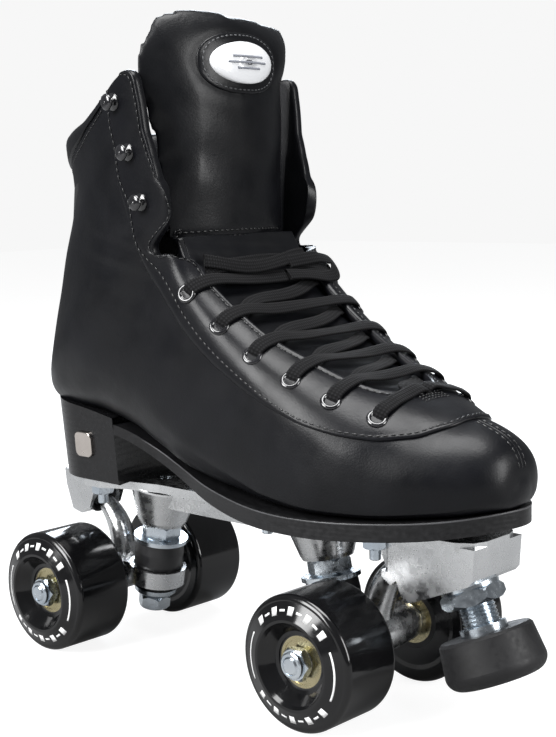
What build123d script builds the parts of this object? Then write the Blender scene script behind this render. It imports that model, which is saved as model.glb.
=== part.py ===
from build123d import *
import os
from math import cos, pi, radians, sin

# Quad roller skate for the right foot: a high laced boot on a cast plate with two
# steering trucks, four wheels on ball bearings and an adjustable toe stop.
# Frame: +X to the toe, +Y to the wearer's left, +Z up.  The origin is on the ground,
# midway between the two axles.  Every length is in millimetres.

# ---------------------------------------------------------------- driving dimensions
WHEELBASE = 165.0
WHEEL_R = 29.0
WHEEL_Y = 39.25          # wheel centre plane, from the middle of the skate
TYRE_HALF = 15.65        # half width of the tread
LIP_OUT = 18.8           # how far the outer lip stands from the wheel centre plane
LIP_R = 18.5
HUB_R = 14.5
TREAD_ROUND = 2.6

AXLE_R = 4.0
AXLE_HALF = 57.8
BEARING_R = 11.0
BEARING_W = 7.0
INNER_RING_R = 6.0
OUTER_RING_BORE = 9.6
BALL_R = 1.9
BALL_CLEARANCE = 0.05    # to the inner race, which belongs to the truck
BALL_PLAY_OUTER = 0.02   # to the outer race, which turns with the wheel
BALL_PITCH_R = 7.8
BALL_COUNT = 7
OUTER_BEARING = 7.75     # bearing centres, from the wheel centre plane, outward
INNER_BEARING = -11.75

RING_X = 59.5            # hanger ring centre, on the kingpin
RING_Z = 31.5
KINGPIN_TILT = 10.5      # degrees, top towards the middle of the skate
KINGPIN_R = 4.75
RING_R = 14.3
RING_HALF = 4.2
PIVOT_X = 102.0          # centre of the hanger's pivot ball
PIVOT_Z = 64.5
PIVOT_BALL_R = 4.8
CUP_CLEARANCE = 0.06
CUP_R = 7.5

PLATE_TOP = 81.0
FLANGE = 4.0
BOLT_PLACES = ((-78.0, 18.0), (30.0, 13.0), (96.0, 18.0))
BOLT_R = 2.5
BOLT_PLAY = 0.1
HEAD_R = 5.5
HEAD_H = 1.8
# underside of the bolt heads, on the insole board, for each pair of bolts
HEAD_PLACES = [(x, y, z) for (x, y), z in zip(BOLT_PLACES, (120.6, 96.2, 94.3))]

STOP_TILT = 22.5         # toe stop axis, degrees from vertical
STOP_X = 130.5           # where that axis leaves the lower face of the plate
STOP_Z = 59.4
STEM_R = 7.94
STEM_PITCH = 1.5875
STOP_R = 21.5

LEATHER = 3.0            # upper with its lining
FACING_RISE = 1.2        # the facings are sewn on top of the side panels

# ---------------------------------------------------------------- small helpers


os.makedirs("parts", exist_ok=True)


def keep(piece, name):
    piece.part.label = name
    export_step(piece.part, f"parts/{name}.step")


def keep_pair(piece, name):
    """Keep a front truck's piece, and its mirror image for the rear truck."""
    keep(piece, f"front_{name}")
    with BuildPart() as twin:
        mirror(piece.part, about=Plane.YZ)
    keep(twin, f"rear_{name}")


def axial_plane(origin, up):
    """Plane for turned profiles: local x is radial (+Y), local y runs along the axis."""
    side = Vector(0, 1, 0)
    return Plane(origin=origin, x_dir=side, z_dir=side.cross(up))


def turned(plane, *points):
    """Ring or disc with this (radius, height) profile, turned about the plane's y axis."""
    with BuildPart() as ring:
        with BuildSketch(plane):
            with BuildLine():
                Polyline(*points, close=True)
            make_face()
        revolve(axis=Axis(plane.origin, plane.y_dir))
    return ring.part


def hexagon(plane, across_flats, height, hole_r=0):
    """Hexagon nut or bolt head that stands on the plane, with chamfered corners."""
    flat = across_flats / 2
    corner = across_flats / 3**0.5
    bevel = corner - flat
    turn = Plane(origin=plane.origin, x_dir=plane.x_dir, z_dir=plane.x_dir.cross(plane.z_dir))
    blank = turned(
        turn,
        (hole_r, 0),
        (flat, 0),
        (corner, bevel),
        (corner, height - bevel),
        (flat, height),
        (hole_r, height),
    )
    with BuildPart() as nut:
        with BuildSketch(plane):
            RegularPolygon(radius=flat, side_count=6, major_radius=False)
        extrude(amount=height)
        add(blank, mode=Mode.INTERSECT)
    return nut.part


def block(low, high):
    """Box between two corners."""
    with BuildPart() as brick:
        with Locations(tuple((low[i] + high[i]) / 2 for i in range(3))):
            Box(*[high[i] - low[i] for i in range(3)])
    return brick.part


def ball_race(plane, middle, play):
    """Ring swept by a bearing's balls, about the axle that is the plane's y axis."""
    with BuildPart() as race:
        with BuildSketch(plane):
            with Locations((BALL_PITCH_R, middle)):
                Circle(BALL_R + play)
        revolve(axis=Axis(plane.origin, plane.y_dir))
    return race.part


def side_shape(points, half):
    """Plate of an (x, z) outline, reaching half its width to both sides of the skate."""
    with BuildPart() as slab:
        with BuildSketch(Plane.XZ):
            with BuildLine():
                Polyline(*points, close=True)
            make_face()
        extrude(amount=half, both=True)
    return slab.part


# ---------------------------------------------------------------- boot surface
# The boot is one closed form lofted through sections that fan from upright at the toe
# to level at the top of the shaft.  Each section runs from a base point on the sole or
# the back seam to a ridge point on the instep or the front of the shaft.

# ridge x, ridge z, base x, base z, half width, middle y, widest at, base power, ridge power
SECTIONS = (
    (156.6, 107.0, 155.8, 96.2, 7.0, 0.0, 0.45, 2.4, 2.0),
    (155.6, 113.5, 154.4, 94.9, 12.5, 0.0, 0.42, 2.6, 2.0),
    (152.2, 119.6, 150.4, 93.9, 18.5, 0.0, 0.38, 3.0, 1.9),
    (145.0, 124.6, 143.0, 92.7, 25.0, -0.4, 0.34, 3.6, 1.8),
    (131.5, 129.2, 130.0, 91.0, 32.5, -0.6, 0.32, 4.2, 1.7),
    (111.0, 136.5, 111.0, 89.6, 41.0, -1.0, 0.30, 4.6, 1.6),
    (90.0, 145.5, 88.0, 88.8, 46.0, -3.0, 0.28, 4.6, 1.5),
    (66.0, 158.0, 60.0, 88.8, 47.0, -2.5, 0.28, 4.4, 1.5),
    (45.0, 171.0, 30.0, 90.5, 44.7, -0.7, 0.30, 4.0, 1.5),
    (28.0, 182.5, -2.0, 94.8, 42.5, 1.3, 0.36, 3.4, 1.6),
    (16.0, 192.0, -35.0, 106.6, 41.0, 2.5, 0.46, 3.0, 1.9),
    (9.5, 200.0, -75.0, 114.6, 42.0, 3.2, 0.60, 2.7, 2.5),
    (9.0, 208.0, -109.0, 119.0, 44.5, 3.5, 0.76, 2.65, 4.0),
    (11.5, 217.0, -113.6, 143.0, 49.0, 3.6, 0.87, 2.35, 6.0),
    (12.0, 229.0, -107.8, 166.0, 51.2, 3.8, 0.89, 2.1, 6.0),
    (11.0, 244.0, -98.8, 189.0, 53.0, 4.0, 0.90, 2.1, 6.0),
    (10.0, 259.0, -92.0, 216.0, 54.5, 4.0, 0.90, 2.05, 6.0),
    (9.5, 267.0, -97.0, 229.0, 55.2, 4.0, 0.90, 2.05, 6.0),
    (9.0, 274.0, -102.0, 242.0, 55.7, 4.0, 0.90, 2.0, 6.0),
    (9.0, 286.0, -97.0, 259.0, 56.0, 4.0, 0.90, 2.0, 6.0),
)
ARC_POINTS = 6

# top of the sole seen from the side, and the bottom of the sole
BASE_LINE = (
    (158, 95.0), (145, 92.8), (130, 91.0), (111, 89.6), (90, 88.8), (60, 88.8), (30, 90.5),
    (10, 92.8), (-8, 97.0), (-28, 104.2), (-54, 111.2), (-85, 116), (-116, 119),
)
SOLE_UNDER = (
    (158, 87.6), (145, 85.3), (130, 83.4), (112, 82.0), (95, 81.2), (60, 81.0), (35, 82.4),
    (10, 86.0), (-8, 91.0), (-28, 98.8), (-54, 106.4),
)
# edge of the sole seen from above: lateral side, tip, medial side
SOLE_EDGE = (
    (-60, -30.5), (-30, -29.5), (-6, -31), (12, -36.5), (31, -42.5), (50, -47.5), (70, -49.8),
    (88, -48.5), (106, -43.5), (125, -35.5), (139, -26.5), (151, -13), (156, 1), (151, 15),
    (139, 28), (124, 36.5), (106, 42.5), (88, 44.5), (68, 43), (45, 39.5), (20, 34.0),
    (-6, 29.5), (-30, 28.5), (-60, 30.5),
)
HEEL_BREAST = -54.0
HEEL_BACK = -113.0
HEEL_HALF = 31.0
HEEL_TAPER = 3.0


def section_points(length, half, middle, widest, base_power, ridge_power):
    """Closed outline: local x across the boot, local y from the base to the ridge."""
    near = []
    for i in range(1, ARC_POINTS + 1):
        turn = i / ARC_POINTS * pi / 2
        across = sin(turn) ** (2 / base_power)
        along = widest * (1 - cos(turn) ** (2 / base_power))
        near.append((across * half, along * length))
    for i in range(ARC_POINTS - 1, 0, -1):
        turn = i / ARC_POINTS * pi / 2
        across = sin(turn) ** (2 / ridge_power)
        along = widest + (1 - widest) * cos(turn) ** (2 / max(ridge_power, 2.0))
        near.append((across * half, along * length))
    far = [(-x, y) for x, y in reversed(near)]
    outline = near[ARC_POINTS:] + [(0, length)] + far + [(0, 0)] + near[:ARC_POINTS]
    return [(x + middle, y) for x, y in outline]


def boot_form(inset, first=0, overrun=0.0):
    """The closed boot shape, pulled in by inset, running on past the shaft's top."""
    rows = [SECTIONS[i] for i in range(first, len(SECTIONS))]
    with BuildPart() as form:
        for i, row in enumerate(rows + rows[-1:] * (1 if overrun else 0)):
            ridge_x, ridge_z, base_x, base_z, half, middle, widest, low, high = row
            base = Vector(base_x, 0, base_z)
            ridge = Vector(ridge_x, 0, ridge_z)
            along = (ridge - base).normalized()
            across = Vector(0, 1, 0)
            if i == len(rows):
                base = base + across.cross(along) * -overrun
            shrink = min(inset, (ridge - base).length / 2.6) if inset > 0 else inset
            origin = base + along * shrink
            length = (ridge_x - base_x) ** 2 + (ridge_z - base_z) ** 2
            length = length**0.5 - 2 * shrink
            plane = Plane(origin=origin, x_dir=across, z_dir=across.cross(along))
            with BuildSketch(plane):
                with BuildLine():
                    Spline(
                        *section_points(length, half - inset, middle, widest, low, high),
                        periodic=True,
                    )
                make_face()
        loft()
    return form.part


outer = boot_form(0)
raised = boot_form(-FACING_RISE)
cavity = boot_form(LEATHER, first=1, overrun=12)


def band(points, low, high, half=60):
    """Solid between a side profile moved up by low and the same profile moved up by high."""
    under = [(x, z + low) for x, z in points]
    over = [(x, z + high) for x, z in reversed(points)]
    with BuildPart() as slab:
        with BuildSketch(Plane.XZ):
            with BuildLine():
                Spline(*under)
                Line(under[-1], over[0])
                Spline(*over)
                Line(over[-1], under[0])
            make_face()
        extrude(amount=half, both=True)
    return slab.part


# ---------------------------------------------------------------- upper
FACING_SEAM = (
    (-31, 300), (-28.5, 264), (-26.4, 240), (-24.6, 222), (-21.5, 207), (-16, 194), (-5, 178),
    (13, 160), (31, 147), (48, 138), (64, 131), (84, 125), (102, 122), (116, 122.5),
    (127, 128), (130, 136),
)
FLAP_EDGE = (
    (-18, 310), (-9.5, 279), (-3, 259), (2, 240), (6.4, 221), (9.5, 210.5), (7, 205.5),
    (-1, 201), (-6, 197.5), (-7, 193.5), (-3, 191), (12, 190),
)
THROAT_EDGE = (
    (-10, 27), (8.5, 26.5), (22, 24), (39, 21.5), (60, 19), (87, 15), (100, 11), (107, 6),
)
THROAT_TIP = 109.0
THROAT_FLOOR = 128.0
# the medial edge stands further out than the lateral one, fading out at the toe end
MEDIAL_SHIFT = 4.0
MEDIAL_FADE = 20.0
# top edge of the shaft seen from the side
TOP_LINE = (
    (60, 305), (-10, 276), (-20.5, 270.3), (-26.7, 266.8), (-33, 263.3), (-39, 259.7),
    (-43.6, 257.8), (-52, 254.5), (-75, 253), (-91, 255), (-120, 256),
)

facing_zone = side_shape(FACING_SEAM + ((130, 300),), 75)
above_top = side_shape(TOP_LINE + ((-120, 340), (60, 340)), 75)


def both_edges(lateral):
    """Outline seen from above, from one (x, distance) edge: medial side out, lateral side back."""
    medial = [(x, y + MEDIAL_SHIFT * min(1, (THROAT_TIP - x) / MEDIAL_FADE)) for x, y in lateral]
    return medial, [(x, -y) for x, y in reversed(lateral)]


with BuildPart() as throat:
    add(side_shape(FLAP_EDGE + ((70, 190), (70, 310)), 75))
    with BuildSketch(Plane.XY.offset(THROAT_FLOOR)):
        medial_edge, lateral_edge = both_edges(THROAT_EDGE)
        with BuildLine():
            Polyline(*medial_edge, (THROAT_TIP, 0), *lateral_edge, close=True)
        make_face()
    extrude(amount=90)

eyelets_right = [
    (6.6, 36, 176.5), (25, 35, 162.7), (43.4, 34, 150.7), (63.2, 32, 141.3),
    (83.3, 30, 134), (105, 27, 128.4),
]
hook_places = [(-17, 262), (-12.7, 238.2), (-7.6, 216)]
EYELET_HOLE = 2.6


def surface_point(form, start, direction):
    """Where a ray from inside leaves the form, with the outward normal there."""
    hits = form.find_intersection_points(Axis(start, direction))
    heading = Vector(*direction)
    ahead = [hit for hit in hits if (hit[0] - Vector(*start)).dot(heading) > 0]
    point, normal = max(ahead, key=lambda hit: (hit[0] - Vector(*start)).dot(heading))
    return point, normal if normal.dot(heading) > 0 else normal * -1


def eyelet_spot(place, side):
    x, y, z = place
    return surface_point(raised, (x, 0, z - 0.8 * y), (0, side * y, 0.8 * y))


def hook_spot(place, side):
    x, z = place
    return surface_point(raised, (x, 0, z), (0, side, 0))


EYELET_SPOTS = {side: [eyelet_spot(p, side) for p in eyelets_right] for side in (-1, 1)}
HOOK_SPOTS = {side: [hook_spot(p, side) for p in hook_places] for side in (-1, 1)}


def spot_plane(point, normal):
    across = normal.cross(Vector(1, 0, 0)).normalized()
    return Plane(origin=point, x_dir=across, z_dir=across.cross(normal))


with BuildPart() as eyelet_holes:
    for side in (-1, 1):
        for point, normal in EYELET_SPOTS[side]:
            plane = spot_plane(point, normal)
            add(turned(plane, (0, -9), (EYELET_HOLE, -9), (EYELET_HOLE, 4), (0, 4)))

with BuildPart() as bolt_holes:
    for x, y in BOLT_PLACES:
        with Locations((x, y, 100), (x, -y, 100)):
            Cylinder(radius=BOLT_R + BOLT_PLAY, height=80)

with BuildPart() as head_pockets:
    for x, y, z in HEAD_PLACES:
        with Locations((x, y, z + 5), (x, -y, z + 5)):
            Cylinder(radius=HEAD_R + 0.3, height=10)

for name, side in (("right", -1), ("left", 1)):
    half_space = block((-150, min(0, side * 80), 60), (200, max(0, side * 80), 320))
    with BuildPart() as side_panel:
        add(outer)
        add(half_space, mode=Mode.INTERSECT)
        add(cavity, mode=Mode.SUBTRACT)
        add(throat.part, mode=Mode.SUBTRACT)
        add(facing_zone, mode=Mode.SUBTRACT)
        add(above_top, mode=Mode.SUBTRACT)
        add(eyelet_holes.part, mode=Mode.SUBTRACT)
        add(bolt_holes.part, mode=Mode.SUBTRACT)
        add(head_pockets.part, mode=Mode.SUBTRACT)
    keep(side_panel, f"side_panel_{name}")
    with BuildPart() as facing:
        add(raised)
        add(half_space, mode=Mode.INTERSECT)
        add(facing_zone, mode=Mode.INTERSECT)
        add(cavity, mode=Mode.SUBTRACT)
        add(throat.part, mode=Mode.SUBTRACT)
        add(above_top, mode=Mode.SUBTRACT)
        add(eyelet_holes.part, mode=Mode.SUBTRACT)
    keep(facing, f"facing_{name}")

# ---------------------------------------------------------------- lining and footbed
COLLAR_ZONE = ((-120, 224), (-60, 226), (-27.5, 240), (-29, 266), (-33, 300), (-120, 300))
COLLAR_THICK = 9.0
COUNTER_ZONE = ((-120, 132), (-66, 129), (-60, 150), (-76, 168), (-120, 170))

with BuildPart() as collar_padding:
    add(boot_form(LEATHER, first=13, overrun=4))
    add(side_shape(COLLAR_ZONE, 75), mode=Mode.INTERSECT)
    add(above_top, mode=Mode.SUBTRACT)
    add(boot_form(LEATHER + COLLAR_THICK, first=13, overrun=9), mode=Mode.SUBTRACT)
keep(collar_padding, "collar_padding")

with BuildPart() as heel_counter:
    add(cavity)
    add(side_shape(COUNTER_ZONE, 75), mode=Mode.INTERSECT)
    add(boot_form(LEATHER + 1.6, first=1), mode=Mode.SUBTRACT)
keep(heel_counter, "heel_counter")

BOARD = 2.5
FOOTBED = 4.5

with BuildPart() as insole_board:
    add(cavity)
    add(band(BASE_LINE, 0, LEATHER + BOARD), mode=Mode.INTERSECT)
    add(bolt_holes.part, mode=Mode.SUBTRACT)
    add(head_pockets.part, mode=Mode.SUBTRACT)
keep(insole_board, "insole_board")

with BuildPart() as insole:
    add(cavity)
    add(band(BASE_LINE, LEATHER + BOARD, LEATHER + BOARD + FOOTBED), mode=Mode.INTERSECT)
    add(bolt_holes.part, mode=Mode.SUBTRACT)
    add(head_pockets.part, mode=Mode.SUBTRACT)
keep(insole, "insole")

# ---------------------------------------------------------------- tongue
TONGUE_THICK = 4.5
TONGUE_GAP = 0.4
TONGUE_EDGE = (
    (-2, 35), (10, 35), (40, 31), (70, 27), (95, 22), (108, 15),
)
TONGUE_SPLIT = 198.0
# height, front x, half width, thickness of the padded upper tongue
TONGUE_LEVELS = (
    (199.4, 5.2, 36.0, 5.0), (214, 6.6, 38.5, 7.5), (240, 8.0, 41.0, 9.0),
    (268, 9.2, 44.5, 9.5), (284, 8.6, 44.5, 9.0), (293, 6.6, 41.0, 8.5), (300, 2.6, 34.5, 6.5),
    (303, -0.8, 28.0, 3.0),
)
TONGUE_CURVE = 62.0

with BuildPart() as tongue:
    with BuildSketch(Plane.XY.offset(THROAT_FLOOR)):
        medial_edge, lateral_edge = both_edges(TONGUE_EDGE)
        with BuildLine():
            Polyline(*medial_edge, *lateral_edge, close=True)
        make_face()
    extrude(amount=TONGUE_SPLIT - THROAT_FLOOR)
    add(boot_form(LEATHER + TONGUE_GAP, first=1), mode=Mode.INTERSECT)
    add(boot_form(LEATHER + TONGUE_GAP + TONGUE_THICK, first=2), mode=Mode.SUBTRACT)
keep(tongue, "tongue")


def tongue_form(forward):
    """The upper tongue, moved forward by a small amount."""
    with BuildPart() as form:
        for z, front, half, thick in TONGUE_LEVELS:
            sag = half**2 / (2 * TONGUE_CURVE)
            nose = front + forward
            with BuildSketch(Plane.XY.offset(z)):
                with BuildLine():
                    ThreePointArc((nose - sag, -half), (nose, 0), (nose - sag, half))
                    Line((nose - sag, half), (nose - sag - thick * 0.6, half))
                    ThreePointArc(
                        (nose - sag - thick * 0.6, half),
                        (nose - thick, 0),
                        (nose - sag - thick * 0.6, -half),
                    )
                    Line((nose - sag - thick * 0.6, -half), (nose - sag, -half))
                make_face()
        loft()
    return form.part


tongue_body = tongue_form(0)
with BuildPart() as tongue_top:
    add(tongue_body)
keep(tongue_top, "tongue_top")

PATCH = (50.0, 25.5)
PLAQUE = (42.0, 18.5)
BADGE_Y = 1.0
BADGE_Z = 278.0
BADGE_LAYER = 1.2

with BuildPart() as tongue_badge:
    with BuildSketch(Plane.YZ.offset(-4)):
        with Locations((BADGE_Y, BADGE_Z)):
            RectangleRounded(*PATCH, 9)
    extrude(amount=20)
    add(tongue_form(BADGE_LAYER), mode=Mode.INTERSECT)
    add(tongue_body, mode=Mode.SUBTRACT)
with BuildPart() as plaque:
    with BuildSketch(Plane.YZ.offset(-4)):
        with Locations((BADGE_Y, BADGE_Z)):
            Ellipse(PLAQUE[0] / 2, PLAQUE[1] / 2)
    extrude(amount=20)
    add(tongue_form(2 * BADGE_LAYER), mode=Mode.INTERSECT)
    add(tongue_form(BADGE_LAYER), mode=Mode.SUBTRACT)
with BuildPart() as badge_group:
    add(Compound([tongue_badge.part.solid(), plaque.part.solid()]))
keep(badge_group, "tongue_badge")

# ---------------------------------------------------------------- sole and heel
with BuildPart() as edge_block:
    with BuildSketch(Plane.XY.offset(60)):
        with BuildLine():
            Spline(*SOLE_EDGE)
            Line(SOLE_EDGE[-1], SOLE_EDGE[0])
        make_face()
    extrude(amount=70)

with BuildPart() as sole_section:
    with BuildSketch(Plane.XZ):
        with BuildLine():
            Spline(*SOLE_UNDER)
            Line(SOLE_UNDER[-1], BASE_LINE[-3])
            Spline(*BASE_LINE[:-2])
            Line(BASE_LINE[0], SOLE_UNDER[0])
        make_face()
    extrude(amount=60, both=True)

with BuildPart() as outsole:
    add(edge_block.part)
    add(sole_section.part, mode=Mode.INTERSECT)
    add(block((-140, -80, 60), (180, 80, PLATE_TOP)), mode=Mode.SUBTRACT)
    add(outer, mode=Mode.SUBTRACT)
    add(bolt_holes.part, mode=Mode.SUBTRACT)
keep(outsole, "outsole")


def heel_outline(inward):
    """Level section of the heel: straight sides, round back and a hollow breast."""
    half = HEEL_HALF - inward
    back = HEEL_BACK + inward
    with BuildSketch(Plane.XY) as outline:
        with BuildLine():
            ThreePointArc((HEEL_BREAST, -half), (HEEL_BREAST - 5, 0), (HEEL_BREAST, half))
            Line((HEEL_BREAST, half), (back + half, half))
            ThreePointArc((back + half, half), (back, 0), (back + half, -half))
            Line((back + half, -half), (HEEL_BREAST, -half))
        make_face()
    return outline.sketch


with BuildPart() as heel_block:
    with BuildSketch(Plane.XY.offset(PLATE_TOP)):
        add(heel_outline(HEEL_TAPER))
    with BuildSketch(Plane.XY.offset(125)):
        add(heel_outline(0))
    loft()
    add(band(BASE_LINE, -60, 0), mode=Mode.INTERSECT)
    add(outer, mode=Mode.SUBTRACT)
    add(bolt_holes.part, mode=Mode.SUBTRACT)
keep(heel_block, "heel_block")

BADGE_SIZE = (12.0, 12.5)
heel_badge_plane = Plane(
    origin=(-76.5, -HEEL_HALF + HEEL_TAPER * 0.56, 99.3), x_dir=(1, 0, 0), z_dir=(0, -1, -0.07)
)
with BuildPart() as heel_badge:
    with BuildSketch(heel_badge_plane.offset(0.15)):
        RectangleRounded(*BADGE_SIZE, 3)
    extrude(amount=1.6)
    fillet(heel_badge.faces().sort_by(Axis.Y)[0].edges(), 0.5)
keep(heel_badge, "heel_badge")

# ---------------------------------------------------------------- eyelets, hooks, lace
FLANGE_OUT = 4.4
BORE_IN = 2.3

with BuildPart() as eyelets:
    for side in (-1, 1):
        for point, normal in EYELET_SPOTS[side]:
            add(
                turned(
                    spot_plane(point, normal),
                    (BORE_IN, -3.6),
                    (EYELET_HOLE, -3.6),
                    (EYELET_HOLE, 0.1),
                    (FLANGE_OUT, 0.1),
                    (FLANGE_OUT - 0.5, 0.8),
                    (3.3, 1.2),
                    (BORE_IN, 0.6),
                )
            )
keep(eyelets, "eyelets")

with BuildPart() as hooks:
    for side in (-1, 1):
        for point, normal in HOOK_SPOTS[side]:
            plane = spot_plane(point, normal)
            add(
                turned(
                    plane,
                    (0, 0.15),
                    (4.2, 0.15),
                    (3.9, 0.9),
                    (2.2, 1.3),
                    (1.7, 2.2),
                    (1.8, 3.4),
                    (3.7, 4.0),
                    (3.9, 4.7),
                    (2.8, 5.5),
                    (0, 5.8),
                )
            )
keep(hooks, "hooks")

LACE_WIDTH = 7.5
LACE_THICK = 1.6
LACE_LIFT = 2.1          # middle of the lace above the facing, at an eyelet
CROSS_DROP = -1.2        # lower crossing relative to the ridge
CROSS_RISE = 0.9
# each end from the top eyelets: where it crosses the tongue and where it is tucked in
LACE_ENDS = {
    -1: ((16.6, -2.0, 194.0), (2.5, 25.0, 191.5)),
    1: ((15.0, 2.0, 192.0), (4.5, -22.0, 188.0)),
}


def lace_bow(start, middle, end):
    """Flat lace bent over the tongue along an arc through three points."""
    start, middle, end = (Vector(*place) for place in (start, middle, end))
    normal = (middle - start).cross(end - start).normalized()
    with BuildPart() as bow:
        with BuildLine():
            path = ThreePointArc(start, middle, end)
        with BuildSketch(Plane(origin=path @ 0, x_dir=normal, z_dir=path % 0)):
            Rectangle(LACE_WIDTH, LACE_THICK)
        sweep()
    return bow.part


def lace_end(side, row):
    point, normal = EYELET_SPOTS[side][row]
    return point + normal * LACE_LIFT


def ridge_height(x):
    point, _ = surface_point(outer, (x, 0, 120), (0, 0, 1))
    return point.Z


with BuildPart() as lace:
    rows = len(eyelets_right)
    lowest = [lace_end(side, rows - 1) for side in (-1, 1)]
    top = ridge_height(lowest[0].X + 1)
    add(lace_bow(lowest[0], Vector(lowest[0].X + 1, 0, top + CROSS_DROP), lowest[1]))
    for row in range(rows - 1):
        for side, lift in ((-1, CROSS_DROP), (1, CROSS_RISE)):
            start = lace_end(side, row + 1)
            end = lace_end(-side, row)
            middle_x = (start.X + end.X) / 2
            add(lace_bow(start, Vector(middle_x, 0, ridge_height(middle_x) + lift), end))
    for side, (crossing, tuck) in LACE_ENDS.items():
        add(lace_bow(lace_end(side, 0), crossing, tuck))
    for side in (-1, 1):
        for point, normal in EYELET_SPOTS[side]:
            with BuildSketch(Plane(origin=point - normal * 3.0, z_dir=normal)):
                Circle(BORE_IN - 0.1)
            extrude(amount=3.0 + LACE_LIFT)
keep(lace, "lace")

# ---------------------------------------------------------------- trucks
# The front truck; the rear one is its mirror image.
ring_centre = Vector(RING_X, 0, RING_Z)
kingpin_up = Vector(-sin(radians(KINGPIN_TILT)), 0, cos(radians(KINGPIN_TILT)))
stack = axial_plane(ring_centre, kingpin_up)
axle_centre = Vector(WHEELBASE / 2, 0, WHEEL_R)
pivot = Vector(PIVOT_X, 0, PIVOT_Z)
pin_way = Vector(-8.0, 0, -4.5).normalized()
cup_plane = axial_plane(pivot, pin_way)


def level(height):
    """Plane across the kingpin at a height above the hanger ring's centre."""
    return Plane(origin=ring_centre + kingpin_up * height, x_dir=(0, 1, 0), z_dir=kingpin_up)


with BuildPart() as kingpin:
    add(hexagon(level(-18.4), 14.3, 6.2))
    with BuildSketch(level(-12.4)):
        Circle(KINGPIN_R)
    extrude(amount=57.4)
keep_pair(kingpin, "kingpin")

with BuildPart() as kingpin_nut:
    add(hexagon(level(19.6), 17.5, 7.2, KINGPIN_R))
keep_pair(kingpin_nut, "kingpin_nut")

washer = turned(stack, (KINGPIN_R, 17.6), (13.5, 17.6), (13.5, 19.6), (KINGPIN_R, 19.6))
cup = turned(
    stack,
    (KINGPIN_R, -12.2),
    (7.4, -12.2),
    (10.6, -9.4),
    (10.9, -7.2),
    (10.4, -7.2),
    (10.0, -8.8),
    (KINGPIN_R, -8.8),
)
with BuildPart() as cushion_retainers:
    add(washer)
    add(cup)
keep_pair(cushion_retainers, "cushion_retainers")

with BuildPart() as cushion_upper:
    add(
        turned(
            stack,
            (KINGPIN_R + 0.3, 2.6),
            (11.6, 2.6),
            (12.2, 6.0),
            (12.3, 12.0),
            (11.8, 17.5),
            (KINGPIN_R + 0.3, 17.5),
        )
    )
keep_pair(cushion_upper, "cushion_upper")

with BuildPart() as cushion_lower:
    add(
        turned(
            stack,
            (KINGPIN_R + 0.3, -8.7),
            (9.8, -8.7),
            (10.2, -6.0),
            (10.0, -2.6),
            (KINGPIN_R + 0.3, -2.6),
        )
    )
keep_pair(cushion_lower, "cushion_lower")

with BuildPart() as pivot_cup:
    add(turned(cup_plane, (0, -7), (CUP_R, -7), (CUP_R, 3.4), (0, 3.4)))
    with Locations(tuple(pivot)):
        Sphere(PIVOT_BALL_R + CUP_CLEARANCE, mode=Mode.SUBTRACT)
    mouth = turned(
        cup_plane, (0, 0), (PIVOT_BALL_R + CUP_CLEARANCE, 0), (6.6, 3.5), (0, 3.5)
    )
    add(mouth, mode=Mode.SUBTRACT)
keep_pair(pivot_cup, "pivot_cup")

with BuildPart() as hanger:
    with BuildSketch(Plane.YZ.offset(axle_centre.X)):
        with BuildLine():
            Polyline(
                (-24, WHEEL_R),
                (-24, WHEEL_R + 5.9),
                (-22, WHEEL_R + 6.2),
                (-20.5, WHEEL_R + 8.4),
                (-8, WHEEL_R + 9.4),
                (8, WHEEL_R + 9.4),
                (20.5, WHEEL_R + 8.4),
                (22, WHEEL_R + 6.2),
                (24, WHEEL_R + 5.9),
                (24, WHEEL_R),
                close=True,
            )
        make_face()
    revolve(axis=Axis(axle_centre, (0, 1, 0)))
    reach = WHEELBASE / 2 - RING_X
    with BuildSketch(Plane(origin=level(-3.6).origin, x_dir=(0, -1, 0), z_dir=kingpin_up)):
        with BuildLine():
            Polyline(
                (-9.5, 8),
                (9.5, 8),
                (17, reach - 3),
                (17, reach + 2),
                (-17, reach + 2),
                (-17, reach - 3),
                close=True,
            )
        make_face()
    extrude(amount=7.2)
    add(turned(stack, (0, -RING_HALF), (RING_R, -RING_HALF), (RING_R, RING_HALF), (0, RING_HALF)))
    add(turned(stack, (0, -9), (7.6, -9), (7.6, 9), (0, 9)), mode=Mode.SUBTRACT)
    add(turned(stack, (0, 2.6), (12.6, 2.6), (12.9, 9), (0, 9)), mode=Mode.SUBTRACT)
    add(turned(stack, (0, -9), (11.0, -9), (10.7, -2.6), (0, -2.6)), mode=Mode.SUBTRACT)
    arm = (
        (82.5, 33.0, 9.0, 6.5, (0.10, 1.0)),
        (84.6, 44.0, 6.6, 6.2, (0.25, 0.95)),
        (88.6, 53.6, 5.7, 5.7, (0.52, 0.85)),
        (94.0, 59.6, 4.9, 4.9, (0.85, 0.52)),
        (98.6, 62.6, 3.9, 3.9, (0.87, 0.49)),
    )
    for x, z, wide, deep, heading in arm:
        across_arm = Plane(origin=(x, 0, z), x_dir=(0, 1, 0), z_dir=(heading[0], 0, heading[1]))
        with BuildSketch(across_arm):
            Ellipse(wide, deep)
    loft()
    with BuildSketch(Plane(origin=(98.6, 0, 62.6), z_dir=pin_way * -1)):
        Circle(3.9)
    extrude(amount=3)
    with Locations(tuple(pivot)):
        Sphere(PIVOT_BALL_R)
    add(side_shape(((70, 34), (82, 36), (88, 50), (84.5, 51)), 2.6))
    add(
        turned(
            Plane(origin=axle_centre, x_dir=(1, 0, 0), z_dir=(0, 0, 1)),
            (0, -30),
            (AXLE_R, -30),
            (AXLE_R, 30),
            (0, 30),
        ),
        mode=Mode.SUBTRACT,
    )
keep_pair(hanger, "hanger")

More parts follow.
